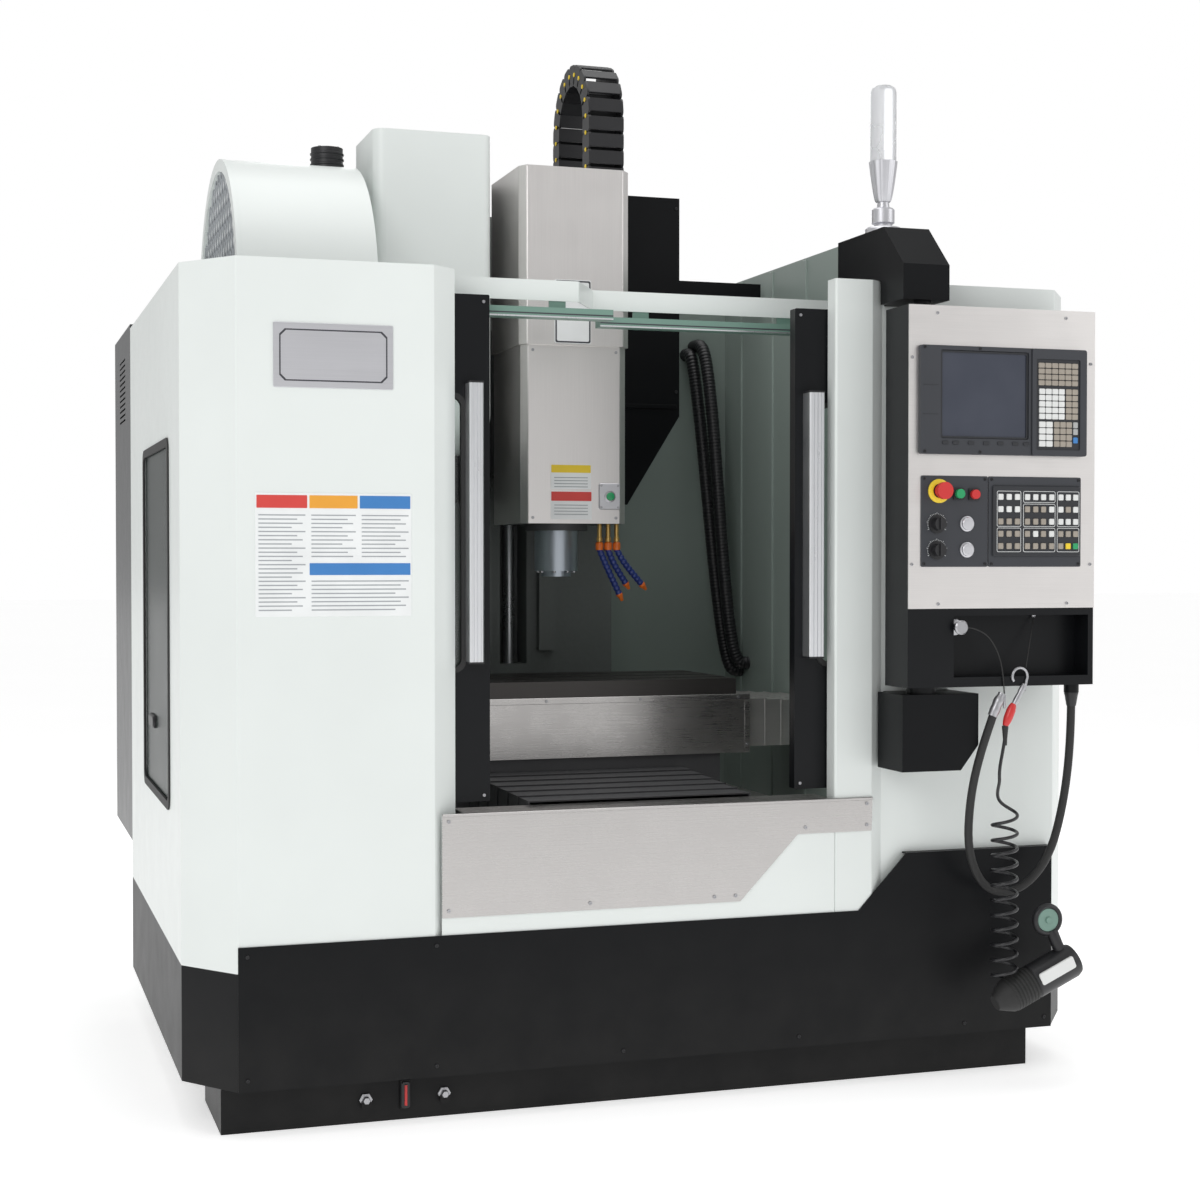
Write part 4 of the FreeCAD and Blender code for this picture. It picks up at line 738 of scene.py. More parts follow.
SIDE = -1106.0
FIELDS = (("print_red", "red", [((-957, -847), (1374, 1402))]),
          ("print_orange", "orange", [((-842, -736), (1374, 1402))]),
          ("blue", "orange", [((-731, -618), (1374, 1402)), ((-842, -618), (1228, 1254))]))
BARS = ((-953, -851, range(1360, 1150, -9)), (-838, -740, range(1360, 1262, -9)),
        (-727, -622, range(1360, 1262, -9)), (-838, -622, range(1216, 1150, -9)))
SHORTER = (0, 18, 6, 30)


def notched(a, b, cut):
    """Rectangle a by b with its corners cut off at forty-five degrees."""
    (a0, a1), (b0, b1) = a, b
    return np.array([(a1, b1 - cut), (a1 - cut, b1), (a0 + cut, b1), (a0, b1 - cut),
                     (a0, b0 + cut), (a0 + cut, b0), (a1 - cut, b0), (a1, b0 + cut)], float)


class MACHINE_OT_cabinet_plates(bpy.types.Operator):
    """Plain plate and notice board on the left cabinet, window seal and grip"""
    bl_idname = "machine.cabinet_plates"
    bl_label = "Cabinet plates"

    def execute(self, context):
        piece("name_plate", Shape().slab((-920, -656), (1636, 1777), (FRONT, FRONT - 3), 3, 0.8), "plate")
        outer = notched((-907, -669), (1650, 1763), 12)
        inner = notched((-904, -672), (1653, 1760), 12)
        piece("name_plate_line", Shape().band(outer, inner, (FRONT - 2.8, FRONT - 3.5)), "print_dark")
        board = Shape().slab((-960, -615), (1137, 1407), (FRONT, FRONT - 1.6), 2, 0.5)
        piece("notice_board", board, "print_white")
        for finish, slot, areas in FIELDS:
            piece("board_" + finish, slabs(areas, (FRONT - 1.4, FRONT - 2.1), 1), finish, slot=slot)
        rows = [((x0, x1 - SHORTER[k % 4]), (top - 2.6, top))
                for x0, x1, tops in BARS for k, top in enumerate(tops)]
        piece("board_bars", slabs(rows, (FRONT - 1.4, FRONT - 1.9), steps=2), "print_grey")
        seal = frame_band((-636, 12), (677, 1546), 34, 20, (SIDE + 1, SIDE - 4), "x", 26, 8)
        piece("side_window_seal", seal, "rubber")
        grip = Shape().slab((-270, -150), (840, 872), (SIDE + 6, SIDE - 6), 14, 4, "x")
        piece("side_window_grip", grip, "plastic")
        return {"FINISHED"}


APRON_FACE = -1003.0
TANK_FACE = -944.0
APRON_SCREWS = ((-532, 676), (-532, 476), (-200, 476), (105, 474), (158, 474), (336, 627), (496, 627),
                (496, 678))


class MACHINE_OT_lower_trim(bpy.types.Operator):
    """Screws of the apron, skirts and bracket, and the tank's gauge"""
    bl_idname = "machine.lower_trim"
    bl_label = "Apron, skirt and tank trim"

    def execute(self, context):
        radius, y = settings()[1].screw_radius / MM, APRON_FACE
        piece("apron_screws", screws([(x, y, z) for x, z in APRON_SCREWS], radius), "fastener")
        piece("apron_lip", Shape().slab((-547, 511), (686, 693), (y, y - 4), 1.5, 1), "apron")
        skirt = [(x, y, 130) for x in (-980, -560, -120, 320, 760, 980)]
        skirt += [(-980, y, 400), (-560, y, 400), (980, y, 530)]
        piece("skirt_screws", screws(skirt, radius), "plastic", slot="black")
        y = TANK_FACE
        piece("gauge_body", Shape().slab((-630, -610), (27, 88), (y, y - 11), 6, 2), "plastic")
        piece("gauge_glass", Shape().turned((-620, y - 11, 34), "z", [(3.2, 0), (3.2, 46)], 14), "red")
        plugs = Shape()
        for x in (-710, -530):
            plugs.turned((x, y, 52), "y", [(15, 0), (15, -5), (9, -6), (9, -15), (7.5, -17)], 6)
        piece("tank_plugs", plugs, "fastener")
        piece("tank_rim", Shape().slab((-1031, 964), (98, 105), (y, y - 4), 1, 1), "trim")
        return {"FINISHED"}


# ---- doors

DOOR_Y = (-918.0, -948.0)
DOOR_Z = (712.0, 1862.0)
LIGHT_Z = (1012.0, 1632.0)
STILE = 62.0
PANE_Y = (-929, -937)
PULL_FRONT = -990.0
PULL_Z = (1029, 1661)
RAILS = (((-902, -110), -900), ((-100, 850), -770))


def wider(span, by):
    return span[0] - by, span[1] + by


def grooved(left, right, front, back):
    """Section of a pull: a bar with eased front corners and three shallow grooves in its front."""
    line = [(left, back), (left, front + 3), (left + 3, front)]
    for k in (1, 2, 3):
        at = left + k * (right - left) / 4
        line += [(at - 2, front), (at - 1.2, front + 2), (at + 1.2, front + 2), (at + 2, front)]
    return line + [(right - 3, front), (right, front + 3), (right, back)]


def door(side, x0, x1, pull_x):
    """Leaf round its light, pane, rubber seal, screws and pull, on the leaf's own body."""
    body, light, back = side + "_door", (x0 + STILE, x1 - STILE), DOOR_Y[1]
    leaf = Shape().band(rounded((x0, x1), DOOR_Z, 3), rounded(light, LIGHT_Z, 24), DOOR_Y)
    piece(body + "_leaf", leaf, "door", body, body)
    pane = Shape().slab(wider(light, -0.2), wider(LIGHT_Z, -0.2), PANE_Y, 24)
    piece(body + "_pane", pane, "pane", body)
    seal = Shape().band(rounded(wider(light, 7), wider(LIGHT_Z, 7), 30),
                        rounded(wider(light, -5), wider(LIGHT_Z, -5), 20), (back + 12, back - 3))
    piece(body + "_seal", seal, "rubber", body)
    corners = [(x, back, z) for x in (x0 + 14, (x0 + x1) / 2, x1 - 14) for z in (726, 1846)]
    piece(body + "_screws", screws(corners), "fastener", body)
    bar = Shape().prism(grooved(*pull_x, PULL_FRONT, back), PULL_Z, "z")
    piece(side + "_pull", bar, "aluminium", body, side + "_handle", crease=20)
    caps = Shape()
    for z in PULL_Z:
        caps.slab(wider(pull_x, 0.6), (PULL_FRONT - 0.6, back), (z - 2, z + 2), 3, axis="z")
    piece(side + "_pull_caps", caps, "plastic", body)


class MACHINE_OT_doors(bpy.types.Operator):
    """The two sliding leaves with panes, seals and pulls, and the strips on their rails"""
    bl_idname = "machine.doors"
    bl_label = "Doors"

    def execute(self, context):
        door("left", -902, -422, (-479, -446))
        door("right", 331, 811, (352, 390))
        lines, strips = Shape(), Shape()
        for span, front in RAILS:
            lines.slab(span, (1830, 1833), (front, front - 0.4))
            strips.slab(span, (1822.5, 1826), (front, front - 0.6))
        piece("rail_lines", lines, "print_dark", slot="black_plastic")
        piece("rail_strips", strips, "aluminium", slot="steel")
        return {"FINISHED"}


# ---- work area

HOOD_COUNT = 6
HOOD_INSET = 2.6
HOOD_SHEET = 2.0


def arch(a, foot, crown, wall=HOOD_SHEET):
    """Inverted U between a[0] and a[1]: its outer line, then its inner line one wall inside."""
    (a0, a1), (b0, b1) = a, (a[0] + wall, a[1] - wall)
    top = crown - wall
    return np.array([(a0, foot), (a0, crown), (a1, crown), (a1, foot),
                     (b1, foot), (b1, top), (b0, top), (b0, foot)], float)


def telescopic(span, a, top, foot, axis):
    """Nested hoods along one axis, each one inset inside the last, with a lip at its edge."""
    shape = Shape()
    edges = np.linspace(*span, HOOD_COUNT + 1)
    reach = 5.0 * np.sign(edges[0] - edges[-1])
    for k, (near, far) in enumerate(zip(edges, edges[1:])):
        inset = HOOD_INSET * k
        a0, a1, crown = a[0] + inset, a[1] - inset, top - inset
        hood = arch((a0, a1), foot, crown)
        shape.add(loft([lifted(hood, s, axis) for s in np.linspace(near, far, 5)]))
        lip = arch((a0 - 1, a1 + 1), foot, crown + 1)
        shape.add(loft([lifted(lip, s, axis) for s in (far, far + reach)]))
    return shape


class MACHINE_OT_way_covers(bpy.types.Operator):
    """Telescopic covers over the table's and the saddle's ways"""
    bl_idname = "machine.way_covers"
    bl_label = "Way covers"

    def execute(self, context):
        depth, foot, top = (-384, -16), 761.0, 891.0
        cover = piece("way_cover_right", telescopic((402.5, 689), depth, top, foot, "x"), "steel_x", None,
                      "x_way_covers")
        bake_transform(cover)
        cover = piece("way_cover_left", telescopic((-358.5, -765), depth, top, foot, "x"), "steel_x", None)
        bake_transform(cover)
        cover = piece("way_cover_front", telescopic((-391, -899), (-329, 249), 714, 567, "y"), "iron", None,
                      "y_way_cover")
        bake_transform(cover)
        return {"FINISHED"}


SPLASH_FACE = -404.0
GUARD_FACE = 100.0


class MACHINE_OT_work_area(bpy.types.Operator):
    """Seams and conduits of the inner walls, and the table's splash plate"""
    bl_idname = "machine.work_area"
    bl_label = "Work area"

    def execute(self, context):
        seams = Shape()
        for places, heights, depth in (((-420, -180, 60, 300), (566, 2104), (700, 695)),
                                       ((-640, -400, -160, 80, 320), (566, 1436), (-776, -771))):
            for y in places:
                seams.slab((y - 11, y + 11), heights, depth, 2, 1, "x")
        piece("wall_seams", seams, "inside")
        conduits = Shape()
        for step in (0.0, 52.0):
            x, y, low, high = 568 + step / 2, 292 - step, 925 + step / 2, 1894 + step / 2
            route = [(x, 430, high), (x, 356 - step, high), (640, y, low), (699, y, low)]
            path, run = resampled(smooth(route, 4), 2.0)
            rib = 18.6 + 0.9 * np.cos(run * 2 * math.pi / 10.0)
            conduits.tube(path, rib, across=(0.5, 0.7, 0.1), steps=16)
        piece("conduits", conduits, "plastic", "frame", "interior_hoses", slot="rubber", crease=80)
        y = SPLASH_FACE
        strip = Shape().slab((-399, 439), (888, 904), (y, y - 3), 1, 0.8)
        for x in (-399, 425):
            strip.slab((x, x + 14), (749, 886), (y, y - 1.5), 1, 0.5)
        piece("splash_strip", strip, "apron", "table")
        heads = [(x, y - 3, 896) for x in (-380, -128, 129, 406)]
        heads += [(x, y - 1.5, 769) for x in (-392, 432)]
        piece("splash_screws", screws(heads), "fastener", "table")
        guard = slabs([((x, x + 305), (1700, 1712)) for x in (-495, 110)], (GUARD_FACE, GUARD_FACE - 6), 2, 1)
        piece("guard_ribs", guard, "trim")
        pins = [(x, GUARD_FACE, z) for x in (-495, -195, 112, 415) for z in (1750, 2000, 2280)]
        piece("guard_screws", screws(pins, 5), "plastic", slot="steel")
        return {"FINISHED"}


# ---- head

HEAD_FACE = -350.0
UPPER_FACE = -360.0
SPINDLE = (-40.0, -200.0)


def bolt_circle(centre, radius, count, start, z):
    """Places spread evenly round a flat centre, from a start angle in radians."""
    angles = np.arange(count) * 2 * math.pi / count + start
    return [(centre[0] + radius * math.cos(a), centre[1] + radius * math.sin(a), z) for a in angles]


class MACHINE_OT_head(bpy.types.Operator):
    """Plates, button box and bolts of the head, and the coolant lines"""
    bl_idname = "machine.head"
    bl_label = "Head"

    def execute(self, context):
        y, upper, printed = HEAD_FACE, UPPER_FACE, (HEAD_FACE - 0.9, HEAD_FACE - 1.6)
        plate = Shape().slab((-92, 8), (1826, 1992), (upper, upper - 2), 5, 0.6)
        piece("head_plate", plate, "print_white", "head")
        line = Shape().band(rounded((-90, 6), (1828, 1990), 5), rounded((-86, 2), (1832, 1986), 4),
                            (upper - 1.8, upper - 2.5))
        piece("head_plate_line", line, "print_dark", "head")
        cards = slabs([((-99, 11), (1447, 1511)), ((-99, 13), (1368, 1441))], (y, y - 1), 1)
        piece("head_cards", cards, "print_white", "head")
        piece("head_field_amber", Shape().slab((-98, 10), (1490, 1510), printed, 1), "yellow", "head")
        piece("head_field_red", Shape().slab((-98, 12), (1416, 1440), printed, 1), "print_red", "head")
        rows = [((-90, 2), (z - 2, z)) for z in (1478, 1470, 1462, 1454, 1406, 1398, 1390, 1382)]
        piece("head_bars", slabs(rows, (y - 0.9, y - 1.4), steps=2), "print_grey", "head")
        piece("release_box", Shape().slab((32, 90), (1394, 1463), (y, y - 7), 5, 1.5), "plate", "head")
        corners = [(x, y - 7, z) for x in (38, 84) for z in (1400, 1457)]
        piece("release_screws", screws(corners, 3, 2), "fastener", "head")
        ring = Shape().turned((61, y - 7, 1428), "y", [(15, 0), (15, -3), (12, -4)], 28)
        piece("release_ring", ring, "fastener", "head")
        button = Shape().turned((61, y - 7, 1428), "y", [(11, 0), (11, -7), (9.5, -9), (4, -9.6)], 28)
        piece("release_button", button, "green", "head")
        nose = screws(bolt_circle(SPINDLE, 49, 8, 0.39, 1232), 5, 5, "z")
        piece("nose_bolts", nose, "fastener", "spindle")
        flange = screws(bolt_circle(SPINDLE, 66, 6, 0.2, 1357), 7, 8, "z", steps=14)
        piece("flange_bolts", flange, "fastener", "head")
        coolant_lines()
        corners = [(x, y, z) for x in (-148, 80) for z in (1372, 1808)]
        piece("cover_screws", screws(corners, 4, 2.5), "fastener", "head")
        return {"FINISHED"}


LINE_Y = -290
LINE_TIPS = ((54, (112, -282, 1171)), (78, (132, -275, 1200)), (102, (180, -270, 1196)))
PIPE = [(6, 1357), (6, 1322), (8, 1321), (8, 1312), (6, 1311), (6, 1306)]
JOINT_PITCH = 13.0


def coolant_lines():
    """Three brass pipes under the head, each with a jointed line and a nozzle.

    A jointed line's radius is 6.4 + 2.6 |cos(pi s / pitch)| ^ 0.6 along its length s.
    """
    pipes, collars, lines, nozzles = Shape(), Shape(), Shape(), Shape()
    for x, tip in LINE_TIPS:
        foot = (x, LINE_Y, 0)
        pipes.turned(foot, "z", PIPE, 16)
        collars.turned(foot, "z", [(8, 1309), (10.5, 1306), (10.5, 1292), (9, 1288)], 20)
        knee = (x + 0.25 * (tip[0] - x), LINE_Y, 1255)
        path, run = resampled(smooth([(x, LINE_Y, 1290), knee, tip], 3), 1.5)
        lines.tube(path, 6.4 + 2.6 * np.abs(np.cos(math.pi * run / JOINT_PITCH)) ** 0.6, steps=16)
        aim = path[-1] - path[-4]
        aim /= np.linalg.norm(aim)
        spout = np.stack([path[-1] + aim * s for s in (-6, 0, 4, 10, 20, 21)])
        nozzles.tube(spout, [6, 9, 9, 6.5, 4, 3.4], steps=18)
    piece("coolant_pipes", pipes, "brass", "head", "coolant_lines")
    piece("coolant_collars", collars, "orange", "head")
    piece("coolant_joints", lines, "navy", "head", crease=60)
    piece("coolant_spouts", nozzles, "orange", "head", "coolant_nozzles")


ARCH_CENTRE = (-10.0, 2470.0)
ARCH_RADIUS = 140.0


class MACHINE_OT_cable_chain(bpy.types.Operator):
    """Cable chain from the head over to the column"""
    bl_idname = "machine.cable_chain"
    bl_label = "Cable chain"

    def execute(self, context):
        pitch = settings()[1].link_pitch / MM
        (y, z), radius = ARCH_CENTRE, ARCH_RADIUS
        turn = np.linspace(math.pi, 0, 40)
        bend = np.stack([np.zeros(40), y + radius * np.cos(turn), z + radius * np.sin(turn)], -1)
        route = np.vstack([[(0, y - radius, 2287)], bend, [(0, y + radius, 2312)]])
        path = resampled(route, pitch)[0]
        along = path[1:] - path[:-1]
        along /= np.linalg.norm(along, axis=1, keepdims=True)
        up = np.cross(along, [1.0, 0, 0])
        cheek = rounded((-0.56 * pitch, 0.56 * pitch), (-29, 29), 12, 4)
        bars = [rounded((-0.42 * pitch, 0.42 * pitch), (at - 3, at + 3), 1, 2) for at in (-26, 26)]
        parts = (((60, 66), cheek), ((154, 160), cheek), ((66, 154), bars[0]), ((66, 154), bars[1]))
        links, pins = Shape(), Shape()
        for middle, t, n in zip((path[1:] + path[:-1]) / 2, along, up):
            for span, outline in parts:
                flat = [middle[k] + outline[:, 0] * t[k] + outline[:, 1] * n[k] for k in (1, 2)]
                links.add(loft([np.stack([np.full(len(outline), x), *flat], -1) for x in span]))
        for p in path[1:-1]:
            pins.turned((60, p[1], p[2]), "x", [(6, 2), (6, -1.5), (4.5, -2.2)], 12)
        chain = piece("chain_links", links, "plastic", None, "cable_chain")
        dots = piece("chain_pins", pins, "yellow", None)
        for part in (chain, dots):
            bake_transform(part)
        return {"FINISHED"}


# ---- tool changer

DRUM_CENTRE = np.array([-135.0, 1890.0])
DRUM_RADIUS = 392.0
DRUM_END = -925.0
MOTOR = (-640.0, -100.0)


class MACHINE_OT_tool_changer(bpy.types.Operator):
    """Woven mesh in the drum's end, its rim and the motor's bolts"""
    bl_idname = "machine.tool_changer"
    bl_label = "Tool changer"

    def execute(self, context):
        centre, outer, x = DRUM_CENTRE, DRUM_RADIUS, DRUM_END
        rim = Shape().band(ring_outline(centre, outer + 4.5, 96), ring_outline(centre, outer - 26, 96),
                           (x - 8, x + 3.5), "x")
        piece("drum_rim", rim, "cabinet")
        across_drum = ((centre[0] - outer, centre[0] + outer), (centre[1] - outer, centre[1] + outer))
        back = Shape().slab(*across_drum, (x + 5, x + 3), outer, axis="x", steps=20)
        piece("drum_back", back, "print_white")
        pitch = settings()[1].mesh_pitch / MM
        reach = outer - 20
        strands = Shape()
        for lean in (1, -1):
            direction = np.array([math.cos(lean * 1.05), math.sin(lean * 1.05)])
            across = np.array([-direction[1], direction[0]])
            for d in np.arange(-reach + pitch / 2, reach, pitch):
                half = direction * math.sqrt(max(reach * reach - d * d, 0))
                middle = centre + across * d
                ends = (middle - half, ((middle - half) + (middle + half)) / 2, middle + half)
                strands.tube(np.array([(x + lean, *end) for end in ends]), 2.0, across=(1, 0, 0), steps=5)
        piece("drum_wire", strands, "print_grey", "frame", "drum_mesh", slot="steel")
        piece("motor_bolts", screws(bolt_circle(MOTOR, 34, 4, 0.8, 2344), 4, 4, "z", 1), "fastener")
        ribs = Shape()
        for z in range(2200, 2330, 14):
            ribs.turned((*MOTOR, z), "z", [(42, 0), (44.5, 2), (44.5, 5), (42, 7)], 32)
        piece("motor_ribs", ribs, "plastic")
        return {"FINISHED"}


# ---- operator panel

PLATE = -1150.0
UNIT_FACE = -1162.0
UNIT_Z = (1508, 1761)
SCREEN = ((607, 837), (1546, 1750))
SOFT_KEYS = (618, 645, 685, 725, 763, 802, 831)
KEYPADS = {"beige_cap": [((862, 970), (1674, 1729), 6, 4), ((936, 970), (1594, 1668), 2, 5),
                         ((904, 954), (1529, 1590), 3, 4)],
           "white_cap": [((864, 934), (1594, 1668), 4, 5), ((864, 902), (1529, 1590), 2, 4)],
           "blue": [((956, 970), (1538, 1554), 1, 1)],
           "grey_cap": [((956, 970), (1558, 1590), 1, 2)]}
PLATE_SCREWS = ((603, 1837), (944, 1837), (538, 1732), (1012, 1730), (538, 1251), (1012, 1251),
                (607, 1158), (949, 1158))
KEY_GAP = 0.9


def key_grid(x, z, columns, rows):
    """Areas of a keypad's caps: the block x by z cut into equal cells, each less a gap all round."""
    wide, high = (x[1] - x[0]) / columns, (z[1] - z[0]) / rows
    corners = [(x[0] + i * wide, z[0] + j * high) for i in range(columns) for j in range(rows)]
    return [(wider((a, a + wide), -KEY_GAP), wider((b, b + high), -KEY_GAP)) for a, b in corners]


class MACHINE_OT_screen(bpy.types.Operator):
    """Screen unit: moulded frame, screen, soft keys and keypad"""
    bl_idname = "machine.screen"
    bl_label = "Screen unit"

    def execute(self, context):
        body, face = "panel", UNIT_FACE
        unit = Shape().band(rounded((554, 993), UNIT_Z, 6), rounded((606, 838), (1545, 1751), 5),
                            (PLATE, face))
        unit.band(rounded((846, 993), UNIT_Z, 6), rounded((857, 975), (1522, 1737), 4), (face + 1, face - 3))
        unit.slab((600, 844), (1540, 1756), (PLATE, PLATE - 3), 2)
        piece("screen_frame", unit, "fascia", body, "screen_unit")
        back = Shape().slab((855, 977), (1520, 1739), (face + 1.5, face - 0.3), 3)
        piece("keypad_back", back, "keys_frame", body)
        piece("screen_glass", Shape().slab(*SCREEN, (PLATE - 2, PLATE - 6), 4, 1), "screen", body)
        bead = frame_band(*SCREEN, 4, 4, (PLATE - 3, PLATE - 9), inner_radius=3)
        piece("screen_bead", bead, "keys_frame", body)
        grooves = slabs([((559, 600), (z, z + 1.5)) for z in (1600, 1668)], (face + 1, face - 0.4), steps=2)
        grooves.slab((844, 846), UNIT_Z, (face + 1, face - 0.3), steps=2)
        piece("screen_grooves", grooves, "keys_frame", body)
        heads = [(x, face, z) for x in (565, 709, 852, 984) for z in (1514, 1756)]
        piece("screen_screws", screws(heads, 3.6, 2), "plastic", body, slot="black")
        soft = slabs([((x - 8, x + 8), (1531, 1539)) for x in SOFT_KEYS], (face, face - 2.5), 2.5, 0.8)
        piece("soft_keys", soft, "keys_frame", body)
        for finish, blocks in KEYPADS.items():
            cells = [cell for block in blocks for cell in key_grid(*block)]
            caps = slabs(cells, (face, face - 3.2), 2, 1, steps=3)
            piece("keypad_" + finish, caps, finish, body, slot="white")
        heads = [(x, PLATE, z) for x, z in PLATE_SCREWS]
        piece("plate_screws", screws(heads), "fastener", body)
        return {"FINISHED"}


KEY_COLUMNS = (767, 789, 811, 838, 860, 881, 903, 928, 948, 968)
KEY_ROWS = (1410, 1381, 1352, 1323, 1294)
KEY_COLOURS = ("WWWWWWWWWW", "WWWBBBWWBW", "BBBBBBWWWW", "BBBBWBWBBB", "BBBBBBBBYG")
CAPS = {"W": "white_cap", "B": "beige_cap", "Y": "yellow", "G": "green"}
KEY_GROUPS = (((756, 820), (1340, 1424)), ((756, 820), (1280, 1337)), ((826, 912), (1397, 1424)),
              ((826, 912), (1340, 1394)), ((826, 912), (1280, 1337)), ((917, 977), (1340, 1424)),
              ((917, 977), (1280, 1337)))
BOARD_Z = (1245, 1458)
BOARD_FACE = -1153.8
STOP = (606, 1422)
BUTTONS = ((657, 1416), (697, 1415))
DIALS = ((601, 1345), (601, 1284))
ROUND_CAPS = ((679, 1346), (679, 1285))


def by_angle(outline, centre):
    """The same outline, its points in order of their angle about a centre."""
    return outline[np.argsort(np.arctan2(outline[:, 1] - centre[1], outline[:, 0] - centre[0]))]


class MACHINE_OT_key_board(bpy.types.Operator):
    """Lower board: its key caps, group lines, switches' bezels and dials"""
    bl_idname = "machine.key_board"
    bl_label = "Key board"

    def execute(self, context):
        body, face = "panel", BOARD_FACE
        half = settings()[1].key_width / MM / 2
        board = slabs([((561, 735), BOARD_Z), ((737, 985), BOARD_Z)], (PLATE, face), 4, 1)
        piece("board_fascia", board, "fascia", body, "key_board")
        top = face - 5
        piece("key_tray", Shape().slab((746, 981), (1270, 1437), (face, top), 5, 2), "keys_frame", body)
        places = [(x - 1.5, z, colour) for z, row in zip(KEY_ROWS, KEY_COLOURS)
                  for x, colour in zip(KEY_COLUMNS, row)]
        for letter, finish in CAPS.items():
            areas = [((x - half, x + half), (z - 7, z + 7)) for x, z, colour in places if colour == letter]
            caps = slabs(areas, (top, top - 3.5), 2, 1, steps=3)
            piece("board_keys_" + finish, caps, finish, body, slot="white")
        lines = Shape()
        for x, z in KEY_GROUPS:
            lines.band(rounded(x, z, 4), rounded(wider(x, -1), wider(z, -1), 3), (top, top - 0.35))
        piece("board_lines", lines, "print_white", body)
        heads = [(x, face, z) for x in (568, 727, 745, 978) for z in (1252, 1451)]
        piece("board_screws", screws(heads, 3.6, 2), "plastic", body, slot="black")
        rims = [lifted(ring_outline(STOP, radius, 40), face - depth, "y")
                for radius, depth in ((28, 0), (28, 3), (25, 5), (17, 5.5), (17, 0))]
        piece("stop_collar", Shape().add(loft(rims, ring_shaped=True)), "yellow", body)
        bezels = Shape()
        for centre in BUTTONS:
            x, z = centre
            outer = by_angle(rounded((x - 14, x + 14), (z - 14, z + 14), 3, 4), centre)
            bezels.band(outer, by_angle(ring_outline(centre, 11.4, 16), centre), (face, face - 4))
        piece("button_bezels", bezels, "plastic", body)
        caps = Shape()
        for x, z in ROUND_CAPS:
            profile = [(18, 0), (18, -3), (15.5, -4), (15, -9), (13.5, -10.5), (6, -11)]
            caps.turned((x, face, z), "y", profile, 32)
            for k in range(8):
                a = k * math.pi / 4
                dot = (x + 9 * math.cos(a), face, z + 9 * math.sin(a))
                caps.turned(dot, "y", [(1.6, -10.5), (1.6, -11.6)], 8)
        piece("round_caps", caps, "plate", body)
        ticks = Shape()
        for x, z in DIALS:
            for k in range(25):
                a = math.radians(-30 + k * 10)
                p, q = (np.array([x + r * math.cos(a), face - 0.4, z + r * math.sin(a)])
                        for r in (22.5, 25 if k % 4 else 27))
                ticks.tube(np.array([p, (p + q) / 2, q]), 0.55, steps=4)
        piece("dial_ticks", ticks, "print_white", body)
        return {"FINISHED"}


HOOK = (824.0, 985.0)
HOOK_Y = -1150.0
HOOK_RADIUS = 20.0
PEG = [(6, -1087), (6, -1128), (19, -1129), (19, -1132), (9, -1135), (8, -1154), (16, -1158), (17, -1165),
       (14, -1168), (5, -1168)]


def sleeve(top, foot, radii):
    """Straight sleeve whose radius follows a list, evenly spaced from its top to its foot."""
    top, foot = np.array(top, float), np.array(foot, float)
    return Shape().tube(top + (foot - top) * np.linspace(0, 1, len(radii))[:, None], radii, steps=20)


class MACHINE_OT_hanger(bpy.types.Operator):
    """Spool peg, lever, wires, hook ring and sleeves under the panel"""
    bl_idname = "machine.hanger"
    bl_label = "Hanger"

    def execute(self, context):
        body, y = "panel", HOOK_Y
        piece("hanger_peg", Shape().turned((661, 0, 1103), "y", PEG, 32), "fastener", body, "hose_hanger")
        bend = smooth([(649, -1096, 1072), (653, -1100, 1056), (664, -1102, 1030), (670, -1100, 1019)], 2)
        piece("hanger_lever", Shape().tube(resampled(bend, 4)[0], 3.2, steps=12), "fastener", body)
        arc = smooth([(663, -1147, 1103), (700, y, 1102), (745, y, 1080), (776, y, 1020), (783, y, 940)], 4)
        wires = Shape().tube(arc, 1.6, steps=8)
        slack = resampled([(892, -1096, 1126), (868, -1120, 1066), (842, -1146, 1003)], 8)[0]
        wires.tube(slack, 1.3, across=(0, 0.2, 1), steps=8)
        piece("hanger_wires", wires, "rubber", body)
        stud = Shape().turned((892, -1092, 1128), "y", [(5, 2), (5, -6), (3, -8)], 14)
        stud.turned((783, y, 0), "z", [(3, 942), (3.4, 936), (3.4, 914), (2.6, 910)], 14)
        piece("wire_ends", stud, "fastener", body)
        angle = np.linspace(math.radians(-25), math.radians(215), 30)
        hook = np.stack([HOOK[0] + HOOK_RADIUS * np.cos(angle), np.full(30, y),
                         HOOK[1] + HOOK_RADIUS * np.sin(angle)], -1)
        hook = np.vstack([[(836, y, 950)], hook])
        piece("hook_ring", Shape().tube(hook[::-1], 3.4, steps=12), "fastener", body)
        ferrule = sleeve((836, y, 966), (808, y, 918), [5, 7, 7, 6, 7, 7, 6])
        piece("sleeve_ferrule", ferrule, "fastener", body)
        grip = sleeve((807, y, 920), (785, y, 868), [6.5, 9.5, 11, 11, 11, 10.5, 9, 6.5])
        piece("sleeve_red", grip, "red", body)
        return {"FINISHED"}


LAMP = (590, -890)
LAMP_COLLAR = [(45, 2055), (45, 2070), (42, 2074), (24, 2075), (22, 2082), (28, 2086), (28, 2118),
               (24, 2122), (16, 2123), (14, 2138)]
LAMP_TUBE = [(31, 2234), (32, 2240), (32, 2404), (29, 2414), (20, 2420), (6, 2422.5)]


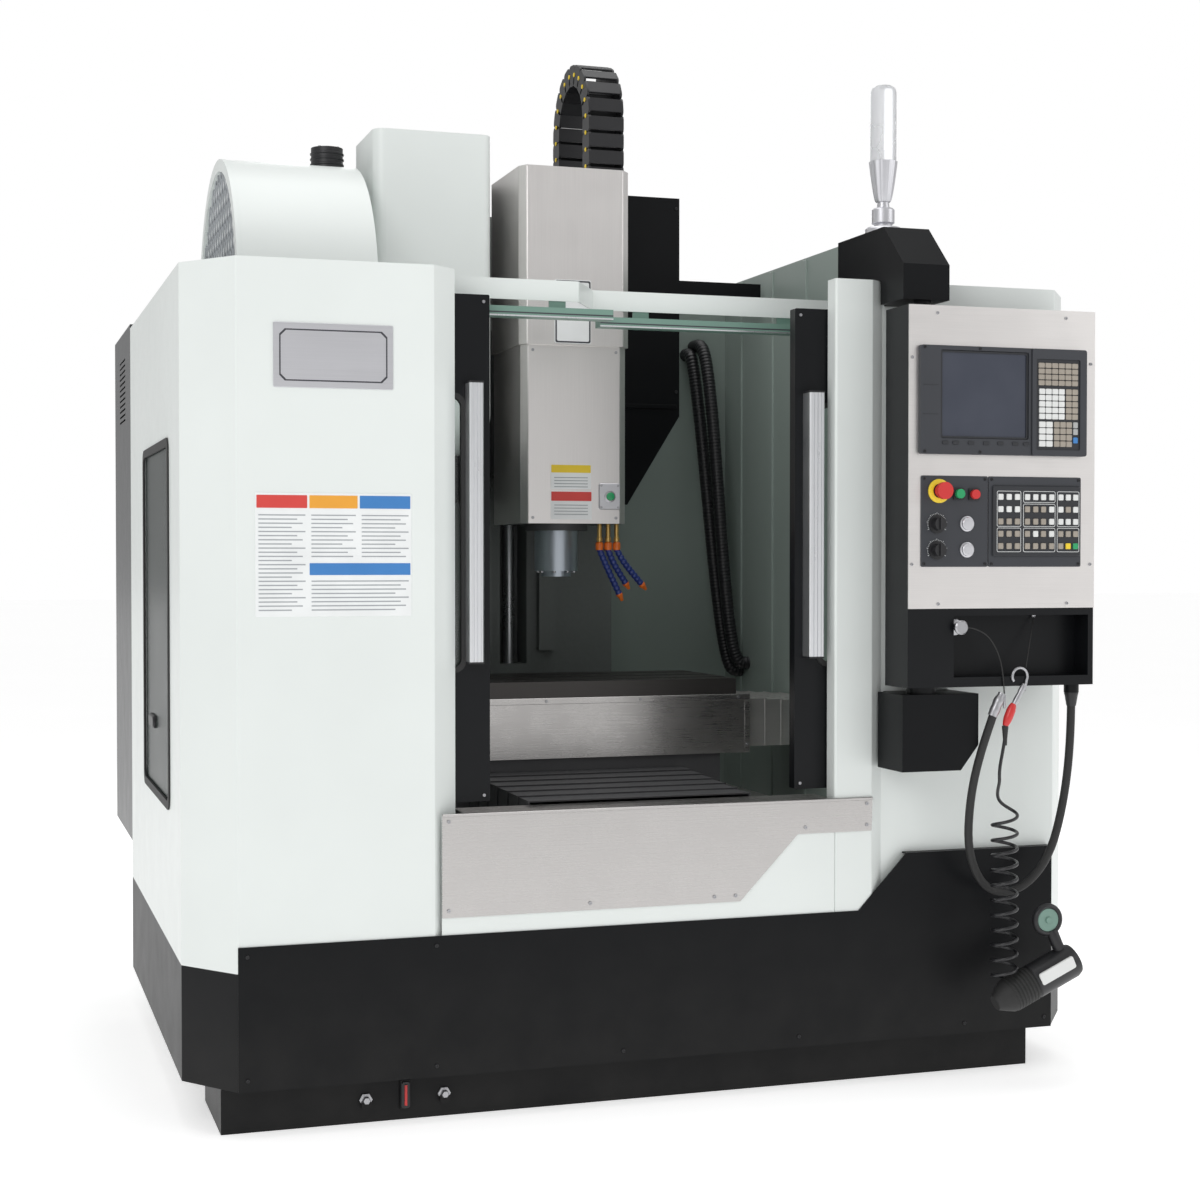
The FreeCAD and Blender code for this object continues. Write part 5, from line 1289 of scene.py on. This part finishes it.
class MACHINE_OT_lamp(bpy.types.Operator):
    """Signal lamp: collar, fluted holder and milky tube"""
    bl_idname = "machine.lamp"
    bl_label = "Signal lamp"

    def execute(self, context):
        foot = (*LAMP, 0)
        collar = Shape().turned(foot, "z", LAMP_COLLAR, 40)
        piece("lamp_collar", collar, "plate", "frame", "signal_lamp", slot="white")
        heights = np.linspace(2138, 2236, 16)
        share = np.linspace(0, 1, 16)
        flutes = 1 + 0.035 * np.cos(12 * np.linspace(0, 2 * math.pi, 64, endpoint=False))
        unit = ring_outline((0, 0), 1.0, 64)
        rings = [lifted(LAMP + unit * ((18 + 16 * s ** 0.7) * flutes)[:, None], h, "z")
                 for s, h in zip(share, heights)]
        piece("lamp_holder", Shape().add(loft(rings)), "plate", slot="white")
        piece("lamp_glass", Shape().turned(foot, "z", LAMP_TUBE, 40), "milky")
        return {"FINISHED"}


# ---- rear

BAY_FACE = 1003.0


class MACHINE_OT_rear(bpy.types.Operator):
    """Hinges, locks and vents of the electrical cabinet, and screws of the rear sheets"""
    bl_idname = "machine.rear"
    bl_label = "Rear details"

    def execute(self, context):
        body, y = "electrical_door", BAY_FACE
        hinges, locks = Shape(), Shape()
        for z in (640, 1200, 1760):
            hinges.turned((-400, 990, z), "z", [(8, -40), (8, 40)], 16)
        piece("bay_hinges", hinges, "fastener", body)
        for z in (800, 1200, 1600):
            locks.turned((-1060, y + 0.3, z), "y", [(13, 0), (13, 3), (10, 5), (4, 5)], 24)
        piece("bay_locks", locks, "fastener", body)
        rib = frame_band((-1092, -414), (480, 1914), 12, 6, (y, y + 1.2), inner_radius=8)
        piece("bay_rib", rib, "electrical", body)
        louvres = [((-880, -620), (z, z + 7)) for z in range(620, 780, 16)]
        piece("bay_louvres", slabs(louvres, (y, y + 4), 3, 2), "electrical", body)
        heads = [(x, 434, z) for x in (-380, 280, 1080) for z in (140, 700, 1300, 1880)]
        piece("rear_screws", screws(heads, 5, out=1), "fastener")
        return {"FINISHED"}


# ---- panel and run

OPERATORS = (
    MACHINE_OT_finishes, MACHINE_OT_stage, MACHINE_OT_cords, MACHINE_OT_cabinet_plates,
    MACHINE_OT_lower_trim, MACHINE_OT_doors, MACHINE_OT_way_covers, MACHINE_OT_work_area,
    MACHINE_OT_head, MACHINE_OT_cable_chain, MACHINE_OT_tool_changer, MACHINE_OT_screen,
    MACHINE_OT_key_board, MACHINE_OT_hanger, MACHINE_OT_lamp, MACHINE_OT_rear,
)


class MACHINE_PT_sidebar(bpy.types.Panel):
    """Lists the machine's groups of pieces and their settings"""
    bl_idname = "MACHINE_PT_sidebar"
    bl_label = "Machining centre"
    bl_space_type = "VIEW_3D"
    bl_region_type = "UI"
    bl_category = "Machine"

    def draw(self, context):
        for group in (context.scene.machine_colours, context.scene.machine_sizes):
            for name in group.__annotations__:
                self.layout.prop(group, name)
        for operator in OPERATORS:
            self.layout.operator(operator.bl_idname)


CLASSES = (MachineColours, MachineSizes, *OPERATORS, MACHINE_PT_sidebar)


def register():
    for cls in CLASSES:
        bpy.utils.register_class(cls)
    bpy.types.Scene.machine_colours = bpy.props.PointerProperty(type=MachineColours)
    bpy.types.Scene.machine_sizes = bpy.props.PointerProperty(type=MachineSizes)


def unregister():
    del bpy.types.Scene.machine_sizes
    del bpy.types.Scene.machine_colours
    for cls in reversed(CLASSES):
        bpy.utils.unregister_class(cls)


def main():
    register()
    for operator in OPERATORS:
        group, name = operator.bl_idname.split(".")
        getattr(getattr(bpy.ops, group), name)()


if __name__ == "__main__":
    main()
